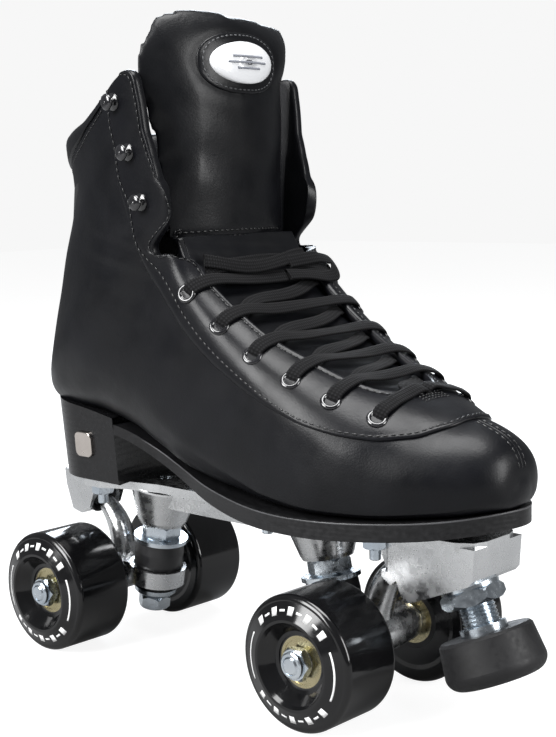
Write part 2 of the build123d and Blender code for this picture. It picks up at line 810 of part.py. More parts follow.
across = Plane(origin=axle_centre, x_dir=(1, 0, 0), z_dir=(0, 0, 1))
with BuildPart() as axle:
    add(
        turned(
            across,
            (0, -AXLE_HALF),
            (AXLE_R - 0.8, -AXLE_HALF),
            (AXLE_R, -AXLE_HALF + 0.8),
            (AXLE_R, AXLE_HALF - 0.8),
            (AXLE_R - 0.8, AXLE_HALF),
            (0, AXLE_HALF),
        )
    )
keep_pair(axle, "axle")

with BuildPart() as axle_nuts:
    for side in (-1, 1):
        face = Plane(
            origin=axle_centre + Vector(0, side * 51.3, 0), x_dir=(1, 0, 0),
            z_dir=(0, side, 0),
        )
        add(hexagon(face, 13.0, 4.0, AXLE_R))
        add(
            turned(
                across,
                (AXLE_R, side * 55.3),
                (5.9, side * 55.3),
                (5.7, side * 56.8),
                (5.0, side * 57.2),
                (AXLE_R, side * 57.2),
            )
        )
        add(
            turned(
                across,
                (AXLE_R, side * 50.5),
                (5.9, side * 50.5),
                (5.9, side * 51.3),
                (AXLE_R, side * 51.3),
            )
        )
keep_pair(axle_nuts, "axle_nuts")

with BuildPart() as spacers:
    for side in (-1, 1):
        inner = side * (WHEEL_Y + INNER_BEARING + BEARING_W / 2)
        outward = side * (WHEEL_Y + OUTER_BEARING - BEARING_W / 2)
        add(turned(across, (AXLE_R, inner), (5.8, inner), (5.8, outward), (AXLE_R, outward)))
keep_pair(spacers, "axle_spacers")

with BuildPart() as inner_rings:
    for side in (-1, 1):
        for place in (INNER_BEARING, OUTER_BEARING):
            middle = side * (WHEEL_Y + place)
            half = BEARING_W / 2
            ring = turned(
                across,
                (AXLE_R, middle - half),
                (INNER_RING_R, middle - half),
                (INNER_RING_R, middle + half),
                (AXLE_R, middle + half),
            )
            add(ring - ball_race(across, middle, BALL_CLEARANCE))
keep_pair(inner_rings, "bearing_inner_rings")

# ---------------------------------------------------------------- wheels
for end, front in (("front", 1), ("rear", -1)):
    for name, side in (("right", -1), ("left", 1)):
        middle = Vector(front * WHEELBASE / 2, side * WHEEL_Y, WHEEL_R)
        wheel_plane = Plane(origin=middle, x_dir=(1, 0, 0), z_dir=(0, 0, side))
        wheel = f"wheel_{end}_{name}"
        hub_in = INNER_BEARING - BEARING_W / 2
        hub_out = OUTER_BEARING + BEARING_W / 2

        with BuildPart() as hub:
            add(
                turned(
                    wheel_plane,
                    (BEARING_R, hub_in),
                    (HUB_R - 1, hub_in),
                    (HUB_R, hub_in + 2),
                    (HUB_R, -6),
                    (HUB_R - 1.2, -5.2),
                    (HUB_R - 1.2, -2.8),
                    (HUB_R, -2),
                    (HUB_R, 4),
                    (HUB_R - 1.2, 4.8),
                    (HUB_R - 1.2, 7.0),
                    (HUB_R, 7.8),
                    (HUB_R, hub_out - 1.5),
                    (HUB_R - 1.5, hub_out),
                    (BEARING_R, hub_out),
                    (BEARING_R, OUTER_BEARING - BEARING_W / 2),
                    (OUTER_RING_BORE, OUTER_BEARING - BEARING_W / 2),
                    (OUTER_RING_BORE, INNER_BEARING + BEARING_W / 2),
                    (BEARING_R, INNER_BEARING + BEARING_W / 2),
                )
            )
        keep(hub, f"{wheel}_hub")

        with BuildPart() as tyre:
            with BuildSketch(wheel_plane):
                with BuildLine():
                    Line((BEARING_R + 0.8, hub_in), (WHEEL_R - 8, hub_in))
                    Line((WHEEL_R - 8, hub_in), (WHEEL_R - 6, -TYRE_HALF))
                    Line((WHEEL_R - 6, -TYRE_HALF), (WHEEL_R - TREAD_ROUND, -TYRE_HALF))
                    RadiusArc(
                        (WHEEL_R - TREAD_ROUND, -TYRE_HALF),
                        (WHEEL_R, -TYRE_HALF + TREAD_ROUND),
                        -TREAD_ROUND,
                    )
                    Line((WHEEL_R, -TYRE_HALF + TREAD_ROUND), (WHEEL_R, TYRE_HALF - TREAD_ROUND))
                    RadiusArc(
                        (WHEEL_R, TYRE_HALF - TREAD_ROUND),
                        (WHEEL_R - TREAD_ROUND, TYRE_HALF),
                        -TREAD_ROUND,
                    )
                    Line((WHEEL_R - TREAD_ROUND, TYRE_HALF), (LIP_R + 0.7, LIP_OUT - 0.2))
                    Line((LIP_R + 0.7, LIP_OUT - 0.2), (LIP_R - 0.5, LIP_OUT - 0.3))
                    Line((LIP_R - 0.5, LIP_OUT - 0.3), (LIP_R - 1.6, LIP_OUT - 2.0))
                    Line((LIP_R - 1.6, LIP_OUT - 2.0), (HUB_R - 1.2, hub_out + 1.0))
                    Line((HUB_R - 1.2, hub_out + 1.0), (BEARING_R + 0.8, hub_out + 0.6))
                    Line((BEARING_R + 0.8, hub_out + 0.6), (BEARING_R + 0.8, hub_in))
                make_face()
            revolve(axis=Axis(middle, (0, 1, 0)))
            solid_hub = turned(
                wheel_plane,
                (0, hub_in - 1),
                (BEARING_R + 0.4, hub_in - 1),
                (BEARING_R + 0.4, hub_out + 1),
                (0, hub_out + 1),
            )
            add(solid_hub, mode=Mode.SUBTRACT)
            add(hub.part, mode=Mode.SUBTRACT)
        keep(tyre, f"{wheel}_tyre")

        with BuildPart() as bearings:
            for place in (INNER_BEARING, OUTER_BEARING):
                half = BEARING_W / 2
                ring = turned(
                    wheel_plane,
                    (OUTER_RING_BORE, place - half),
                    (BEARING_R, place - half),
                    (BEARING_R, place + half),
                    (OUTER_RING_BORE, place + half),
                )
                add(ring - ball_race(wheel_plane, place, BALL_PLAY_OUTER))
                for face in (-1, 1):
                    low = place + face * (half - 0.7)
                    high = place + face * (half - 0.3)
                    add(
                        turned(
                            wheel_plane,
                            (INNER_RING_R + 0.15, low),
                            (OUTER_RING_BORE, low),
                            (OUTER_RING_BORE, high),
                            (INNER_RING_R + 0.15, high),
                        )
                    )
                centre = middle + Vector(0, side * place, 0)
                for ball in range(BALL_COUNT):
                    turn = 2 * pi * ball / BALL_COUNT
                    spot = centre + Vector(cos(turn), 0, sin(turn)) * BALL_PITCH_R
                    with Locations(tuple(spot)):
                        Sphere(BALL_R)
        keep(bearings, f"{wheel}_bearings")

# ---------------------------------------------------------------- plate
stop_down = Vector(sin(radians(STOP_TILT)), 0, -cos(radians(STOP_TILT)))
stop_foot = Vector(STOP_X, 0, STOP_Z)
stop_axis = axial_plane(stop_foot, stop_down)
UNDER = PLATE_TOP - FLANGE

PLATE_EDGE = (
    (-116, 9), (-112.5, 14), (-104, 17), (-92, 22), (-84, 25), (-72, 25), (-62, 20),
    (-40, 15), (16, 15), (24, 19), (36, 19), (46, 18), (84, 22), (92, 25), (100, 25),
    (110, 20), (136, 18), (143, 14), (145, 8),
)
PIVOT_BLOCK = ((-117, 79), (-116, 71), (-111.5, 58.5), (-104.5, 57), (-98.2, 60.5), (-95, 68), (-88, 79))
NOSE_BLOCK = (
    (88, 79), (95, 68), (98.2, 60.5), (103, 57.5), (106, 60), (108, 55), (110.5, 51.2),
    (113, 51.6), (142.0, 63.7), (144.0, 66), (145, 79),
)
BOSS_FOOT = 27.0
BOLT_NUT = (9.6, 4.4)
NUT_SEAT_R = 5.8
WASHER_SEAT_R = 12.8

with BuildPart() as plate:
    with BuildSketch(Plane.XY.offset(UNDER)):
        with BuildLine():
            Polyline(
                *PLATE_EDGE,
                *[(x, -y) for x, y in reversed(PLATE_EDGE)],
                close=True,
            )
        make_face()
        fillet([corner for corner in vertices() if abs(corner.Y) > 10], 2.0)
    extrude(amount=FLANGE)
    for y in (-7.5, 7.5):
        add(block((-44, y - 1.6, 68), (44, y + 1.6, UNDER)))
    add(side_shape(PIVOT_BLOCK, 10.5))
    add(side_shape(NOSE_BLOCK, 17.0))
    boss = turned(
        stack,
        (0, BOSS_FOOT),
        (11.5, BOSS_FOOT),
        (12.5, BOSS_FOOT + 2),
        (17.5, 46),
        (17.5, 47),
        (0, 47),
    )
    bore = turned(stack, (0, 20), (KINGPIN_R, 20), (KINGPIN_R, 60), (0, 60))
    seat = turned(cup_plane, (0, -7), (CUP_R, -7), (CUP_R, 3.4), (9, 3.4), (9, 25), (0, 25))
    add(boss)
    add(boss.mirror(Plane.YZ))
    add(block((-130, -40, PLATE_TOP), (160, 40, PLATE_TOP + 30)), mode=Mode.SUBTRACT)
    for cut in (bore, seat):
        add(cut, mode=Mode.SUBTRACT)
        add(cut.mirror(Plane.YZ), mode=Mode.SUBTRACT)
    add(bolt_holes.part, mode=Mode.SUBTRACT)
    stem_bore = turned(stop_axis, (0, -40), (STEM_R + 0.06, -40), (STEM_R + 0.06, 10), (0, 10))
    add(stem_bore, mode=Mode.SUBTRACT)
    add(turned(stop_axis, (0, 0), (WASHER_SEAT_R, 0), (WASHER_SEAT_R, 12), (0, 12)), mode=Mode.SUBTRACT)
    for x, y in BOLT_PLACES:
        with Locations((x, y, UNDER - 7), (x, -y, UNDER - 7)):
            Cylinder(radius=NUT_SEAT_R, height=14, mode=Mode.SUBTRACT)
keep(plate, "plate")

STUD_END = 67.5
with BuildPart() as mounting_bolts:
    for x, y, z in HEAD_PLACES:
        for side in (-1, 1):
            upright = Plane(origin=(x, side * y, 0), x_dir=(1, 0, 0), z_dir=(0, -1, 0))
            add(
                turned(
                    upright,
                    (0, STUD_END),
                    (BOLT_R - 0.4, STUD_END),
                    (BOLT_R, STUD_END + 0.4),
                    (BOLT_R, z),
                    (HEAD_R, z),
                    (HEAD_R - 0.6, z + HEAD_H),
                    (0, z + HEAD_H),
                )
            )
keep(mounting_bolts, "mounting_bolts")

with BuildPart() as mounting_nuts:
    for x, y in BOLT_PLACES:
        for side in (-1, 1):
            foot = Plane(origin=(x, side * y, UNDER), x_dir=(1, 0, 0), z_dir=(0, 0, -1))
            add(hexagon(foot, BOLT_NUT[0], BOLT_NUT[1], BOLT_R))
keep(mounting_nuts, "mounting_nuts")

# ---------------------------------------------------------------- toe stop
def stop_level(drop):
    return Plane(origin=stop_foot + stop_down * drop, x_dir=(0, 1, 0), z_dir=stop_down)


with BuildPart() as stop_washer:
    add(turned(stop_axis, (STEM_R + 0.06, 0), (12.5, 0), (12.5, 2), (STEM_R + 0.06, 2)))
keep(stop_washer, "toe_stop_washer")

with BuildPart() as stop_nut:
    add(hexagon(stop_level(2.0), 24.0, 6.5, STEM_R + 0.06))
keep(stop_nut, "toe_stop_nut")

THREAD_TOP = -16.0
THREAD_END = 17.5
STOP_TOP = 20.5
STOP_TALL = 20.0
thread = []
rise = THREAD_TOP
while rise < THREAD_END - STEM_PITCH:
    thread += [(STEM_R - 0.75, rise), (STEM_R, rise + STEM_PITCH / 2)]
    rise += STEM_PITCH
with BuildPart() as stop_stem:
    add(
        turned(
            stop_axis,
            (0, THREAD_TOP - 1),
            (STEM_R - 1.5, THREAD_TOP - 1),
            *thread,
            (STEM_R - 0.75, rise),
            (STEM_R - 0.75, THREAD_END),
            (10.0, THREAD_END),
            (10.0, STOP_TOP),
            (4.0, STOP_TOP),
            (4.0, STOP_TOP + 12),
            (0, STOP_TOP + 12),
        )
    )
keep(stop_stem, "toe_stop_stem")

with BuildPart() as stop_rubber:
    foot = STOP_TOP + STOP_TALL
    with BuildSketch(stop_axis):
        with BuildLine():
            Line((4.0, STOP_TOP), (STOP_R - 2.7, STOP_TOP))
            Line((STOP_R - 2.7, STOP_TOP), (STOP_R - 1.5, STOP_TOP + 1.2))
            Line((STOP_R - 1.5, STOP_TOP + 1.2), (STOP_R, foot - 6))
            RadiusArc((STOP_R, foot - 6), (STOP_R - 6, foot), -6)
            Line((STOP_R - 6, foot), (0, foot))
            Line((0, foot), (0, STOP_TOP + 12))
            Line((0, STOP_TOP + 12), (4.0, STOP_TOP + 12))
            Line((4.0, STOP_TOP + 12), (4.0, STOP_TOP))
        make_face()
    revolve(axis=Axis(stop_foot, stop_down))
keep(stop_rubber, "toe_stop_rubber")
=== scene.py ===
from math import cos, pi, radians, sin

import bpy
import numpy as np
from mathutils import Matrix, Vector
from mathutils.bvhtree import BVHTree


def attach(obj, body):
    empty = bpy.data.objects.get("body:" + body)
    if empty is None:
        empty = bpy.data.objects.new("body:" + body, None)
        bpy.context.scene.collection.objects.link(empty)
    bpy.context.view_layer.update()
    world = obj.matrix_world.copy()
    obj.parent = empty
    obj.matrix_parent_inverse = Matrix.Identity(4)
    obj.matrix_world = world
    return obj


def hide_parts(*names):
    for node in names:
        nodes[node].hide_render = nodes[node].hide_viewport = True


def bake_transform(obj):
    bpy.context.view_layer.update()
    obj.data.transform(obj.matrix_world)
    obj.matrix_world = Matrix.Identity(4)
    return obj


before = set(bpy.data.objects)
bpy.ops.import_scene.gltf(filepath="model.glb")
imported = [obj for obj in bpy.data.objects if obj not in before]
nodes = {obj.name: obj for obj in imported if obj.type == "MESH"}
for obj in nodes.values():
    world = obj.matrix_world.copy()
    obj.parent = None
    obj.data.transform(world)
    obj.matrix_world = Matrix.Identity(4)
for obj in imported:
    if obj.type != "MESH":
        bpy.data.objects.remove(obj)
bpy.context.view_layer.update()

# Quad roller skate.  Every length below is in millimetres unless it says otherwise, and
# make() turns it into metres.  +X to the toe, +Y to the medial side, +Z up.
MM = 0.001
scene = bpy.context.scene


# ------------------------------------------------------------------ materials
def shader(name, color, rough, **sockets):
    mat = bpy.data.materials.new(name)
    mat.use_nodes = True
    bsdf = mat.node_tree.nodes["Principled BSDF"]
    bsdf.inputs["Base Color"].default_value = (*color, 1)
    bsdf.inputs["Roughness"].default_value = rough
    for key, value in sockets.items():
        bsdf.inputs[key.replace("_", " ")].default_value = value
    return mat


def node(mat, kind, inputs=(), **settings):
    made = mat.node_tree.nodes.new(kind)
    for key, value in settings.items():
        setattr(made, key, value)
    for key, value in dict(inputs).items():
        if isinstance(value, bpy.types.NodeSocket):
            mat.node_tree.links.new(value, made.inputs[key])
        else:
            made.inputs[key].default_value = value
    return made


def place(mat, stretch=(1, 1, 1), source="Object"):
    """Coordinates fixed to the piece, stretched along an axis for a grain."""
    coords = node(mat, "ShaderNodeTexCoord")
    return node(mat, "ShaderNodeMapping", {"Vector": coords.outputs[source], "Scale": stretch})


def noise(mat, where, scale, detail=3.0, rough=0.55):
    made = node(
        mat, "ShaderNodeTexNoise",
        {"Vector": where.outputs[0], "Scale": scale, "Detail": detail, "Roughness": rough},
    )
    return made.outputs["Fac"]


def ramp(mat, value, low, high, start=0.0, end=1.0):
    made = node(
        mat, "ShaderNodeMapRange",
        {"Value": value, "From Min": start, "From Max": end, "To Min": low, "To Max": high},
    )
    return made.outputs["Result"]


def tint(mat, value, dark, light, start=0.3, end=0.7):
    """Base colour between two tints, following a value."""
    made = node(mat, "ShaderNodeValToRGB", {"Fac": value})
    low, high = made.color_ramp.elements
    low.position, high.position = start, end
    low.color, high.color = (*dark, 1), (*light, 1)
    link(mat, made.outputs["Color"], "Base Color")


def link(mat, output, socket):
    mat.node_tree.links.new(output, mat.node_tree.nodes["Principled BSDF"].inputs[socket])


def bump(mat, heights):
    """Chain of bumps: (height, depth in metres, strength)."""
    previous = None
    for height, depth, strength in heights:
        inputs = {"Height": height, "Distance": depth, "Strength": strength}
        if previous:
            inputs["Normal"] = previous
        previous = node(mat, "ShaderNodeBump", inputs).outputs["Normal"]
    link(mat, previous, "Normal")


def leather(name, dark, light, rough=(0.30, 0.44), grain=1400.0):
    mat = shader(name, dark, rough[0], Specular_IOR_Level=0.2, Coat_Weight=0.03, Coat_Roughness=0.2)
    where = place(mat)
    cloud = noise(mat, where, 26.0)
    pores = node(
        mat, "ShaderNodeTexVoronoi", {"Vector": where.outputs[0], "Scale": grain},
        feature="SMOOTH_F1",
    ).outputs["Distance"]
    fine = noise(mat, where, grain * 1.7, 5.0)
    crease = noise(mat, where, 120.0, 4.0)
    tint(mat, cloud, dark, light)
    link(mat, ramp(mat, noise(mat, where, 70.0, 4.0), *rough, 0.3, 0.7), "Roughness")
    bump(mat, ((crease, 0.0004, 0.35), (pores, 0.00009, 0.35), (fine, 0.00005, 0.3)))
    return mat


def metal(name, dark, light, rough, stretch=(1, 1, 1), scale=300.0, pits=0.25):
    mat = shader(name, light, rough[0], Metallic=1.0)
    where = place(mat, stretch)
    brushed = noise(mat, where, scale, 4.0)
    smear = noise(mat, where, scale * 0.08)
    tint(mat, smear, dark, light)
    link(mat, ramp(mat, brushed, *rough, 0.3, 0.7), "Roughness")
    bump(mat, ((brushed, 0.00006, pits), (smear, 0.0003, pits)))
    return mat


def moulded(name, dark, light, rough, scale=220.0, depth=0.00006, **sockets):
    mat = shader(name, dark, rough[0], **sockets)
    where = place(mat)
    speck = noise(mat, where, scale, 4.0)
    cloud = noise(mat, where, scale * 0.12)
    tint(mat, cloud, dark, light)
    link(mat, ramp(mat, speck, *rough, 0.3, 0.7), "Roughness")
    bump(mat, ((speck, depth, 0.35),))
    return mat


def layered(name, dark, light, rough, spacing):
    """Stacked sheets with level lines, as a built heel or a sole edge has."""
    mat = shader(name, dark, rough[0], Specular_IOR_Level=0.3)
    where = place(mat, (0.06, 0.06, 1.0))
    wave = node(
        mat, "ShaderNodeTexWave",
        {"Vector": where.outputs[0], "Scale": 0.3142 / (spacing * MM), "Distortion": 0.4,
         "Detail": 2.0},
        bands_direction="Z",
    ).outputs["Fac"]
    grain = noise(mat, place(mat), 500.0, 4.0)
    tint(mat, grain, dark, light)
    link(mat, ramp(mat, grain, *rough, 0.3, 0.7), "Roughness")
    bump(mat, ((wave, 0.00010, 0.3), (grain, 0.00004, 0.3)))
    return mat


def woven(name, dark, light, ribs, across):
    """Flat braid: ribs along u and a finer weave across v, both in metres."""
    mat = shader(name, dark, 0.8, Specular_IOR_Level=0.12, Sheen_Weight=0.02, Sheen_Roughness=0.5)
    where = place(mat, source="UV")
    rows = node(
        mat, "ShaderNodeTexWave",
        {"Vector": where.outputs[0], "Scale": ribs, "Distortion": 1.2, "Detail": 1.0,
         "Detail Scale": 2.0},
        bands_direction="X",
    ).outputs["Fac"]
    lines = node(
        mat, "ShaderNodeTexWave",
        {"Vector": where.outputs[0], "Scale": across, "Distortion": 0.6, "Detail": 1.0},
        bands_direction="Y",
    ).outputs["Fac"]
    fuzz = noise(mat, place(mat), 1500.0, 4.0)
    weave = node(mat, "ShaderNodeMath", {0: rows, 1: lines}, operation="MULTIPLY").outputs[0]
    tint(mat, weave, dark, light, 0.05, 0.8)
    link(mat, ramp(mat, fuzz, 0.7, 0.95), "Roughness")
    bump(mat, ((rows, 0.00022, 0.6), (lines, 0.00016, 0.5), (fuzz, 0.0001, 0.4)))
    return mat


def fabric(name, dark, light):
    mat = shader(name, dark, 0.85, Specular_IOR_Level=0.25, Sheen_Weight=0.08, Sheen_Roughness=0.6)
    where = place(mat)
    knit = node(
        mat, "ShaderNodeTexVoronoi", {"Vector": where.outputs[0], "Scale": 900.0},
    ).outputs["Distance"]
    cloud = noise(mat, where, 60.0, 4.0)
    tint(mat, cloud, dark, light)
    link(mat, ramp(mat, knit, 0.75, 0.95), "Roughness")
    bump(mat, ((knit, 0.00016, 0.5), (cloud, 0.0005, 0.3)))
    return mat


LEATHER = leather("leather_upper", (0.0022, 0.0024, 0.0032), (0.0044, 0.0047, 0.0062))
FACING_LEATHER = leather("leather_facing", (0.0024, 0.0026, 0.0034), (0.0048, 0.0050, 0.0066), (0.27, 0.40))
SOFT_LEATHER = leather("leather_tongue", (0.0022, 0.0024, 0.0032), (0.0044, 0.0047, 0.0060), (0.32, 0.45), 1100.0)
LINING = fabric("lining_fabric", (0.010, 0.010, 0.011), (0.020, 0.020, 0.022))
THREAD = moulded("thread_black", (0.0025, 0.0025, 0.003), (0.008, 0.008, 0.009), (0.34, 0.5), 900.0, 0.0001)
THREAD_GREY = moulded("thread_grey", (0.035, 0.036, 0.040), (0.075, 0.077, 0.082), (0.4, 0.55), 900.0, 0.0001)
LACE = woven("lace_braid", (0.0022, 0.0022, 0.0026), (0.0095, 0.0095, 0.0105), 240.0, 190.0)
ENAMEL = moulded("eyelet_enamel", (0.006, 0.006, 0.007), (0.012, 0.012, 0.014), (0.08, 0.2), 400.0, 0.00003,
                 Coat_Weight=0.6)
NICKEL = metal("nickel_polished", (0.44, 0.39, 0.35), (0.66, 0.61, 0.57), (0.14, 0.28))
CAST = metal("cast_aluminium", (0.52, 0.53, 0.54), (0.74, 0.75, 0.76), (0.16, 0.36), (1, 1, 1), 260.0, 0.5)
ZINC = metal("zinc_plate", (0.42, 0.48, 0.55), (0.72, 0.77, 0.81), (0.14, 0.30), (1, 1, 1), 420.0)
STEEL = metal("steel_ground", (0.42, 0.42, 0.44), (0.68, 0.68, 0.70), (0.2, 0.38), (1, 6, 1), 500.0)
GOLD = metal("bearing_shield", (0.36, 0.31, 0.17), (0.58, 0.52, 0.34), (0.18, 0.34), (1, 1, 1), 300.0)
SOLE = layered("sole_edge", (0.0045, 0.0045, 0.005), (0.011, 0.011, 0.012), (0.30, 0.46), 1.9)
HEEL = layered("heel_stack", (0.0045, 0.0045, 0.005), (0.009, 0.009, 0.010), (0.18, 0.30), 3.1)
# light grey, far lighter than sole and leather: paints the highlight line along the sole's top edge
SOLE_EDGE_PAINTED_HIGHLIGHT = moulded("sole_edge_painted_highlight", (0.03, 0.03, 0.032), (0.07, 0.07, 0.075), (0.35, 0.5), 300.0)
TYRE = moulded("wheel_urethane", (0.0025, 0.0025, 0.0028), (0.0050, 0.0050, 0.0056), (0.08, 0.20), 160.0, 0.00004,
               Specular_IOR_Level=0.4, Coat_Weight=0.15, Coat_Roughness=0.06)
HUB = moulded("hub_nylon", (0.010, 0.010, 0.011), (0.02, 0.02, 0.022), (0.3, 0.5))
RUBBER = moulded("stop_rubber", (0.0045, 0.0045, 0.005), (0.010, 0.010, 0.011), (0.45, 0.65), 420.0, 0.00012,
                 Specular_IOR_Level=0.35)
CUSHION = moulded("cushion_rubber", (0.008, 0.008, 0.009), (0.018, 0.018, 0.019), (0.3, 0.5), 300.0, 0.0001)
NYLON = moulded("pivot_nylon", (0.012, 0.012, 0.013), (0.022, 0.022, 0.024), (0.35, 0.55))
BOARD = moulded("fibre_board", (0.10, 0.075, 0.05), (0.18, 0.14, 0.10), (0.7, 0.9), 600.0, 0.0002)
PRINT = moulded("print_white", (0.62, 0.62, 0.62), (0.82, 0.82, 0.82), (0.3, 0.5), 900.0, 0.00002)
PLAQUE = moulded("plaque_white", (0.74, 0.75, 0.77), (0.84, 0.85, 0.87), (0.08, 0.16), 60.0, 0.00002,
                 Coat_Weight=1.0, Coat_Roughness=0.03)
PLAQUE_MARK = moulded("plaque_grey", (0.16, 0.17, 0.20), (0.26, 0.27, 0.30), (0.2, 0.3), 300.0, 0.00002)

NODE_LOOKS = {
    "outsole": SOLE, "heel_block": HEEL, "heel_badge": NICKEL, "eyelets": ENAMEL, "hooks": ENAMEL,
    "insole": LINING, "insole_board": BOARD, "plate": CAST, "mounting_bolts": ZINC,
    "mounting_nuts": ZINC, "toe_stop_washer": ZINC, "toe_stop_nut": ZINC, "toe_stop_stem": ZINC,
    "toe_stop_rubber": RUBBER,
}
for end in ("front", "rear"):
    for part, look in (
        ("kingpin", ZINC), ("kingpin_nut", ZINC), ("cushion_retainers", ZINC),
        ("cushion_upper", CUSHION), ("cushion_lower", CUSHION), ("pivot_cup", NYLON),
        ("hanger", CAST), ("axle", ZINC), ("axle_nuts", ZINC), ("axle_spacers", STEEL),
        ("bearing_inner_rings", STEEL),
    ):
        NODE_LOOKS[f"{end}_{part}"] = look
    for side in ("right", "left"):
        for part, look in (("tyre", TYRE), ("hub", HUB), ("bearings", GOLD)):
            NODE_LOOKS[f"wheel_{end}_{side}_{part}"] = look
for name, look in NODE_LOOKS.items():
    nodes[name].data.materials.clear()
    nodes[name].data.materials.append(look)


# ------------------------------------------------------------------ mesh helpers
def make(name, points, faces, looks, body=None, smooth=True, which=None, uvs=None):
    """Mesh object from points in millimetres, riding on a body."""
    mesh = bpy.data.meshes.new(name)
    mesh.from_pydata((np.asarray(points, float) * MM).tolist(), [], [list(map(int, f)) for f in faces])
    made = bpy.data.objects.new(name, mesh)
    scene.collection.objects.link(made)
    for look in looks if isinstance(looks, (list, tuple)) else [looks]:
        mesh.materials.append(look)
    if which is not None:
        mesh.polygons.foreach_set("material_index", np.asarray(which, np.int32))
    if uvs is not None:
        layer = mesh.uv_layers.new(name="weave")
        loops = np.empty(len(mesh.loops), np.int32)
        mesh.loops.foreach_get("vertex_index", loops)
        layer.data.foreach_set("uv", np.asarray(uvs, float)[loops].ravel())
    mesh.polygons.foreach_set("use_smooth", [smooth] * len(mesh.polygons))
    mesh.update()
    if body:
        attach(made, body)
    return made


def grid_faces(rows, cols, wrap_rows=False, wrap_cols=False):
    """Faces of a (rows, cols) grid of points, numbered row by row."""
    faces = []
    for i in range(rows if wrap_rows else rows - 1):
        for j in range(cols if wrap_cols else cols - 1):
            i2, j2 = (i + 1) % rows, (j + 1) % cols
            faces.append((i * cols + j, i2 * cols + j, i2 * cols + j2, i * cols + j2))
    return faces


def unit(v):
    v = np.asarray(v, float)
    return v / np.maximum(np.linalg.norm(v, axis=-1, keepdims=True), 1e-9)


def spline(knots, values, at):
    """Natural cubic spline through values at the knots."""
    knots, values = np.asarray(knots, float), np.asarray(values, float)
    count = len(knots)
    flat = values.reshape(count, -1)
    gap = np.diff(knots)
    matrix = np.zeros((count, count))
    matrix[0, 0] = matrix[-1, -1] = 1
    right = np.zeros_like(flat)
    for i in range(1, count - 1):
        matrix[i, i - 1:i + 2] = gap[i - 1], 2 * (gap[i - 1] + gap[i]), gap[i]
        right[i] = 6 * ((flat[i + 1] - flat[i]) / gap[i] - (flat[i] - flat[i - 1]) / gap[i - 1])
    bend = np.linalg.solve(matrix, right)
    at = np.asarray(at, float)
    i = np.clip(np.searchsorted(knots, at, side="right") - 1, 0, count - 2)
    wide = gap[i][:, None]
    before, after = (knots[i + 1] - at)[:, None], (at - knots[i])[:, None]
    made = (
        (bend[i] * before**3 + bend[i + 1] * after**3) / (6 * wide)
        + (flat[i] / wide - bend[i] * wide / 6) * before
        + (flat[i + 1] / wide - bend[i + 1] * wide / 6) * after
    )
    return made.reshape((len(at),) + values.shape[1:])


def lengths(points):
    """Distance along a polyline at each of its points."""
    step = np.linalg.norm(np.diff(np.asarray(points, float), axis=0), axis=1)
    return np.r_[0, np.cumsum(step)]


def smooth_curve(points, count):
    """A natural spline through the points, at even spacing."""
    along = lengths(points)
    dense = spline(along, points, np.linspace(0, along[-1], 12 * len(points)))
    return evenly(dense, count)


def evenly(points, count):
    along = lengths(points)
    at = np.linspace(0, along[-1], count)
    return np.stack([np.interp(at, along, column) for column in np.asarray(points).T], 1)


# ------------------------------------------------------------------ boot surface
# ridge x, ridge z, base x, base z, half width, middle y, widest at, base power, ridge power
SECTIONS = (
    (156.6, 107.0, 155.8, 96.2, 7.0, 0.0, 0.45, 2.4, 2.0),
    (155.6, 113.5, 154.4, 94.9, 12.5, 0.0, 0.42, 2.6, 2.0),
    (152.2, 119.6, 150.4, 93.9, 18.5, 0.0, 0.38, 3.0, 1.9),
    (145.0, 124.6, 143.0, 92.7, 25.0, -0.4, 0.34, 4.0, 1.8),
    (131.5, 129.2, 130.0, 91.0, 32.5, -0.6, 0.32, 5.5, 1.8),
    (111.0, 135.5, 111.0, 89.6, 41.5, -0.2, 0.32, 6.5, 2.2),
    (90.0, 142.5, 88.0, 88.8, 47.0, -0.5, 0.32, 7.0, 2.9),
    (66.0, 152.5, 60.0, 88.8, 48.5, 0.2, 0.40, 6.0, 3.8),
    (46.0, 162.5, 30.0, 90.5, 48.5, 1.4, 0.55, 4.6, 4.8),
    (29.5, 174.0, -2.0, 94.8, 48.5, 1.4, 0.68, 3.9, 5.8),
    (18.0, 184.0, -35.0, 106.6, 47.8, 1.2, 0.76, 3.5, 7.0),
    (12.0, 195.5, -75.0, 114.6, 46.5, 0.5, 0.80, 3.3, 7.0),
    (11.0, 206.0, -109.6, 119.0, 46.8, 0.2, 0.85, 2.9, 7.0),
    (12.0, 217.0, -114.2, 143.0, 47.8, 0.0, 0.88, 2.3, 7.0),
    (12.5, 229.0, -109.4, 166.0, 48.5, 0.0, 0.89, 2.1, 7.0),
    (12.0, 244.0, -101.0, 189.0, 49.5, 0.0, 0.90, 2.1, 7.0),
    (11.0, 259.0, -93.2, 216.0, 50.5, 0.0, 0.90, 2.05, 7.0),
    (10.5, 267.0, -95.0, 229.0, 51.0, 0.0, 0.90, 2.05, 7.0),
    (10.0, 274.0, -98.4, 242.0, 51.5, 0.0, 0.90, 2.0, 7.0),
    (9.0, 286.0, -93.5, 259.0, 52.0, 0.0, 0.90, 2.0, 7.0),
)
ARC = 6
OUTLINE = 4 * ARC
ROWS, COLS = 320, 288
RIDGE = COLS // 2


def ring(row):
    """Outline of a section: base, +Y side, ridge, -Y side."""
    ridge_x, ridge_z, base_x, base_z, half, middle, widest, low, high = row
    base, ridge = np.array((base_x, 0, base_z)), np.array((ridge_x, 0, ridge_z))
    points = []
    for k in range(OUTLINE):
        step = min(k, OUTLINE - k)
        side = 1 if k <= 2 * ARC else -1
        if step <= ARC:
            turn = step / ARC * pi / 2
            across = sin(turn) ** (2 / low)
            along = widest * (1 - max(cos(turn), 0) ** (2 / low))
        else:
            turn = (2 * ARC - step) / ARC * pi / 2
            across = sin(turn) ** (2 / high)
            along = widest + (1 - widest) * max(cos(turn), 0) ** (2 / max(high, 2))
        points.append(base + (ridge - base) * along + np.array((0, middle + side * across * half, 0)))
    return points


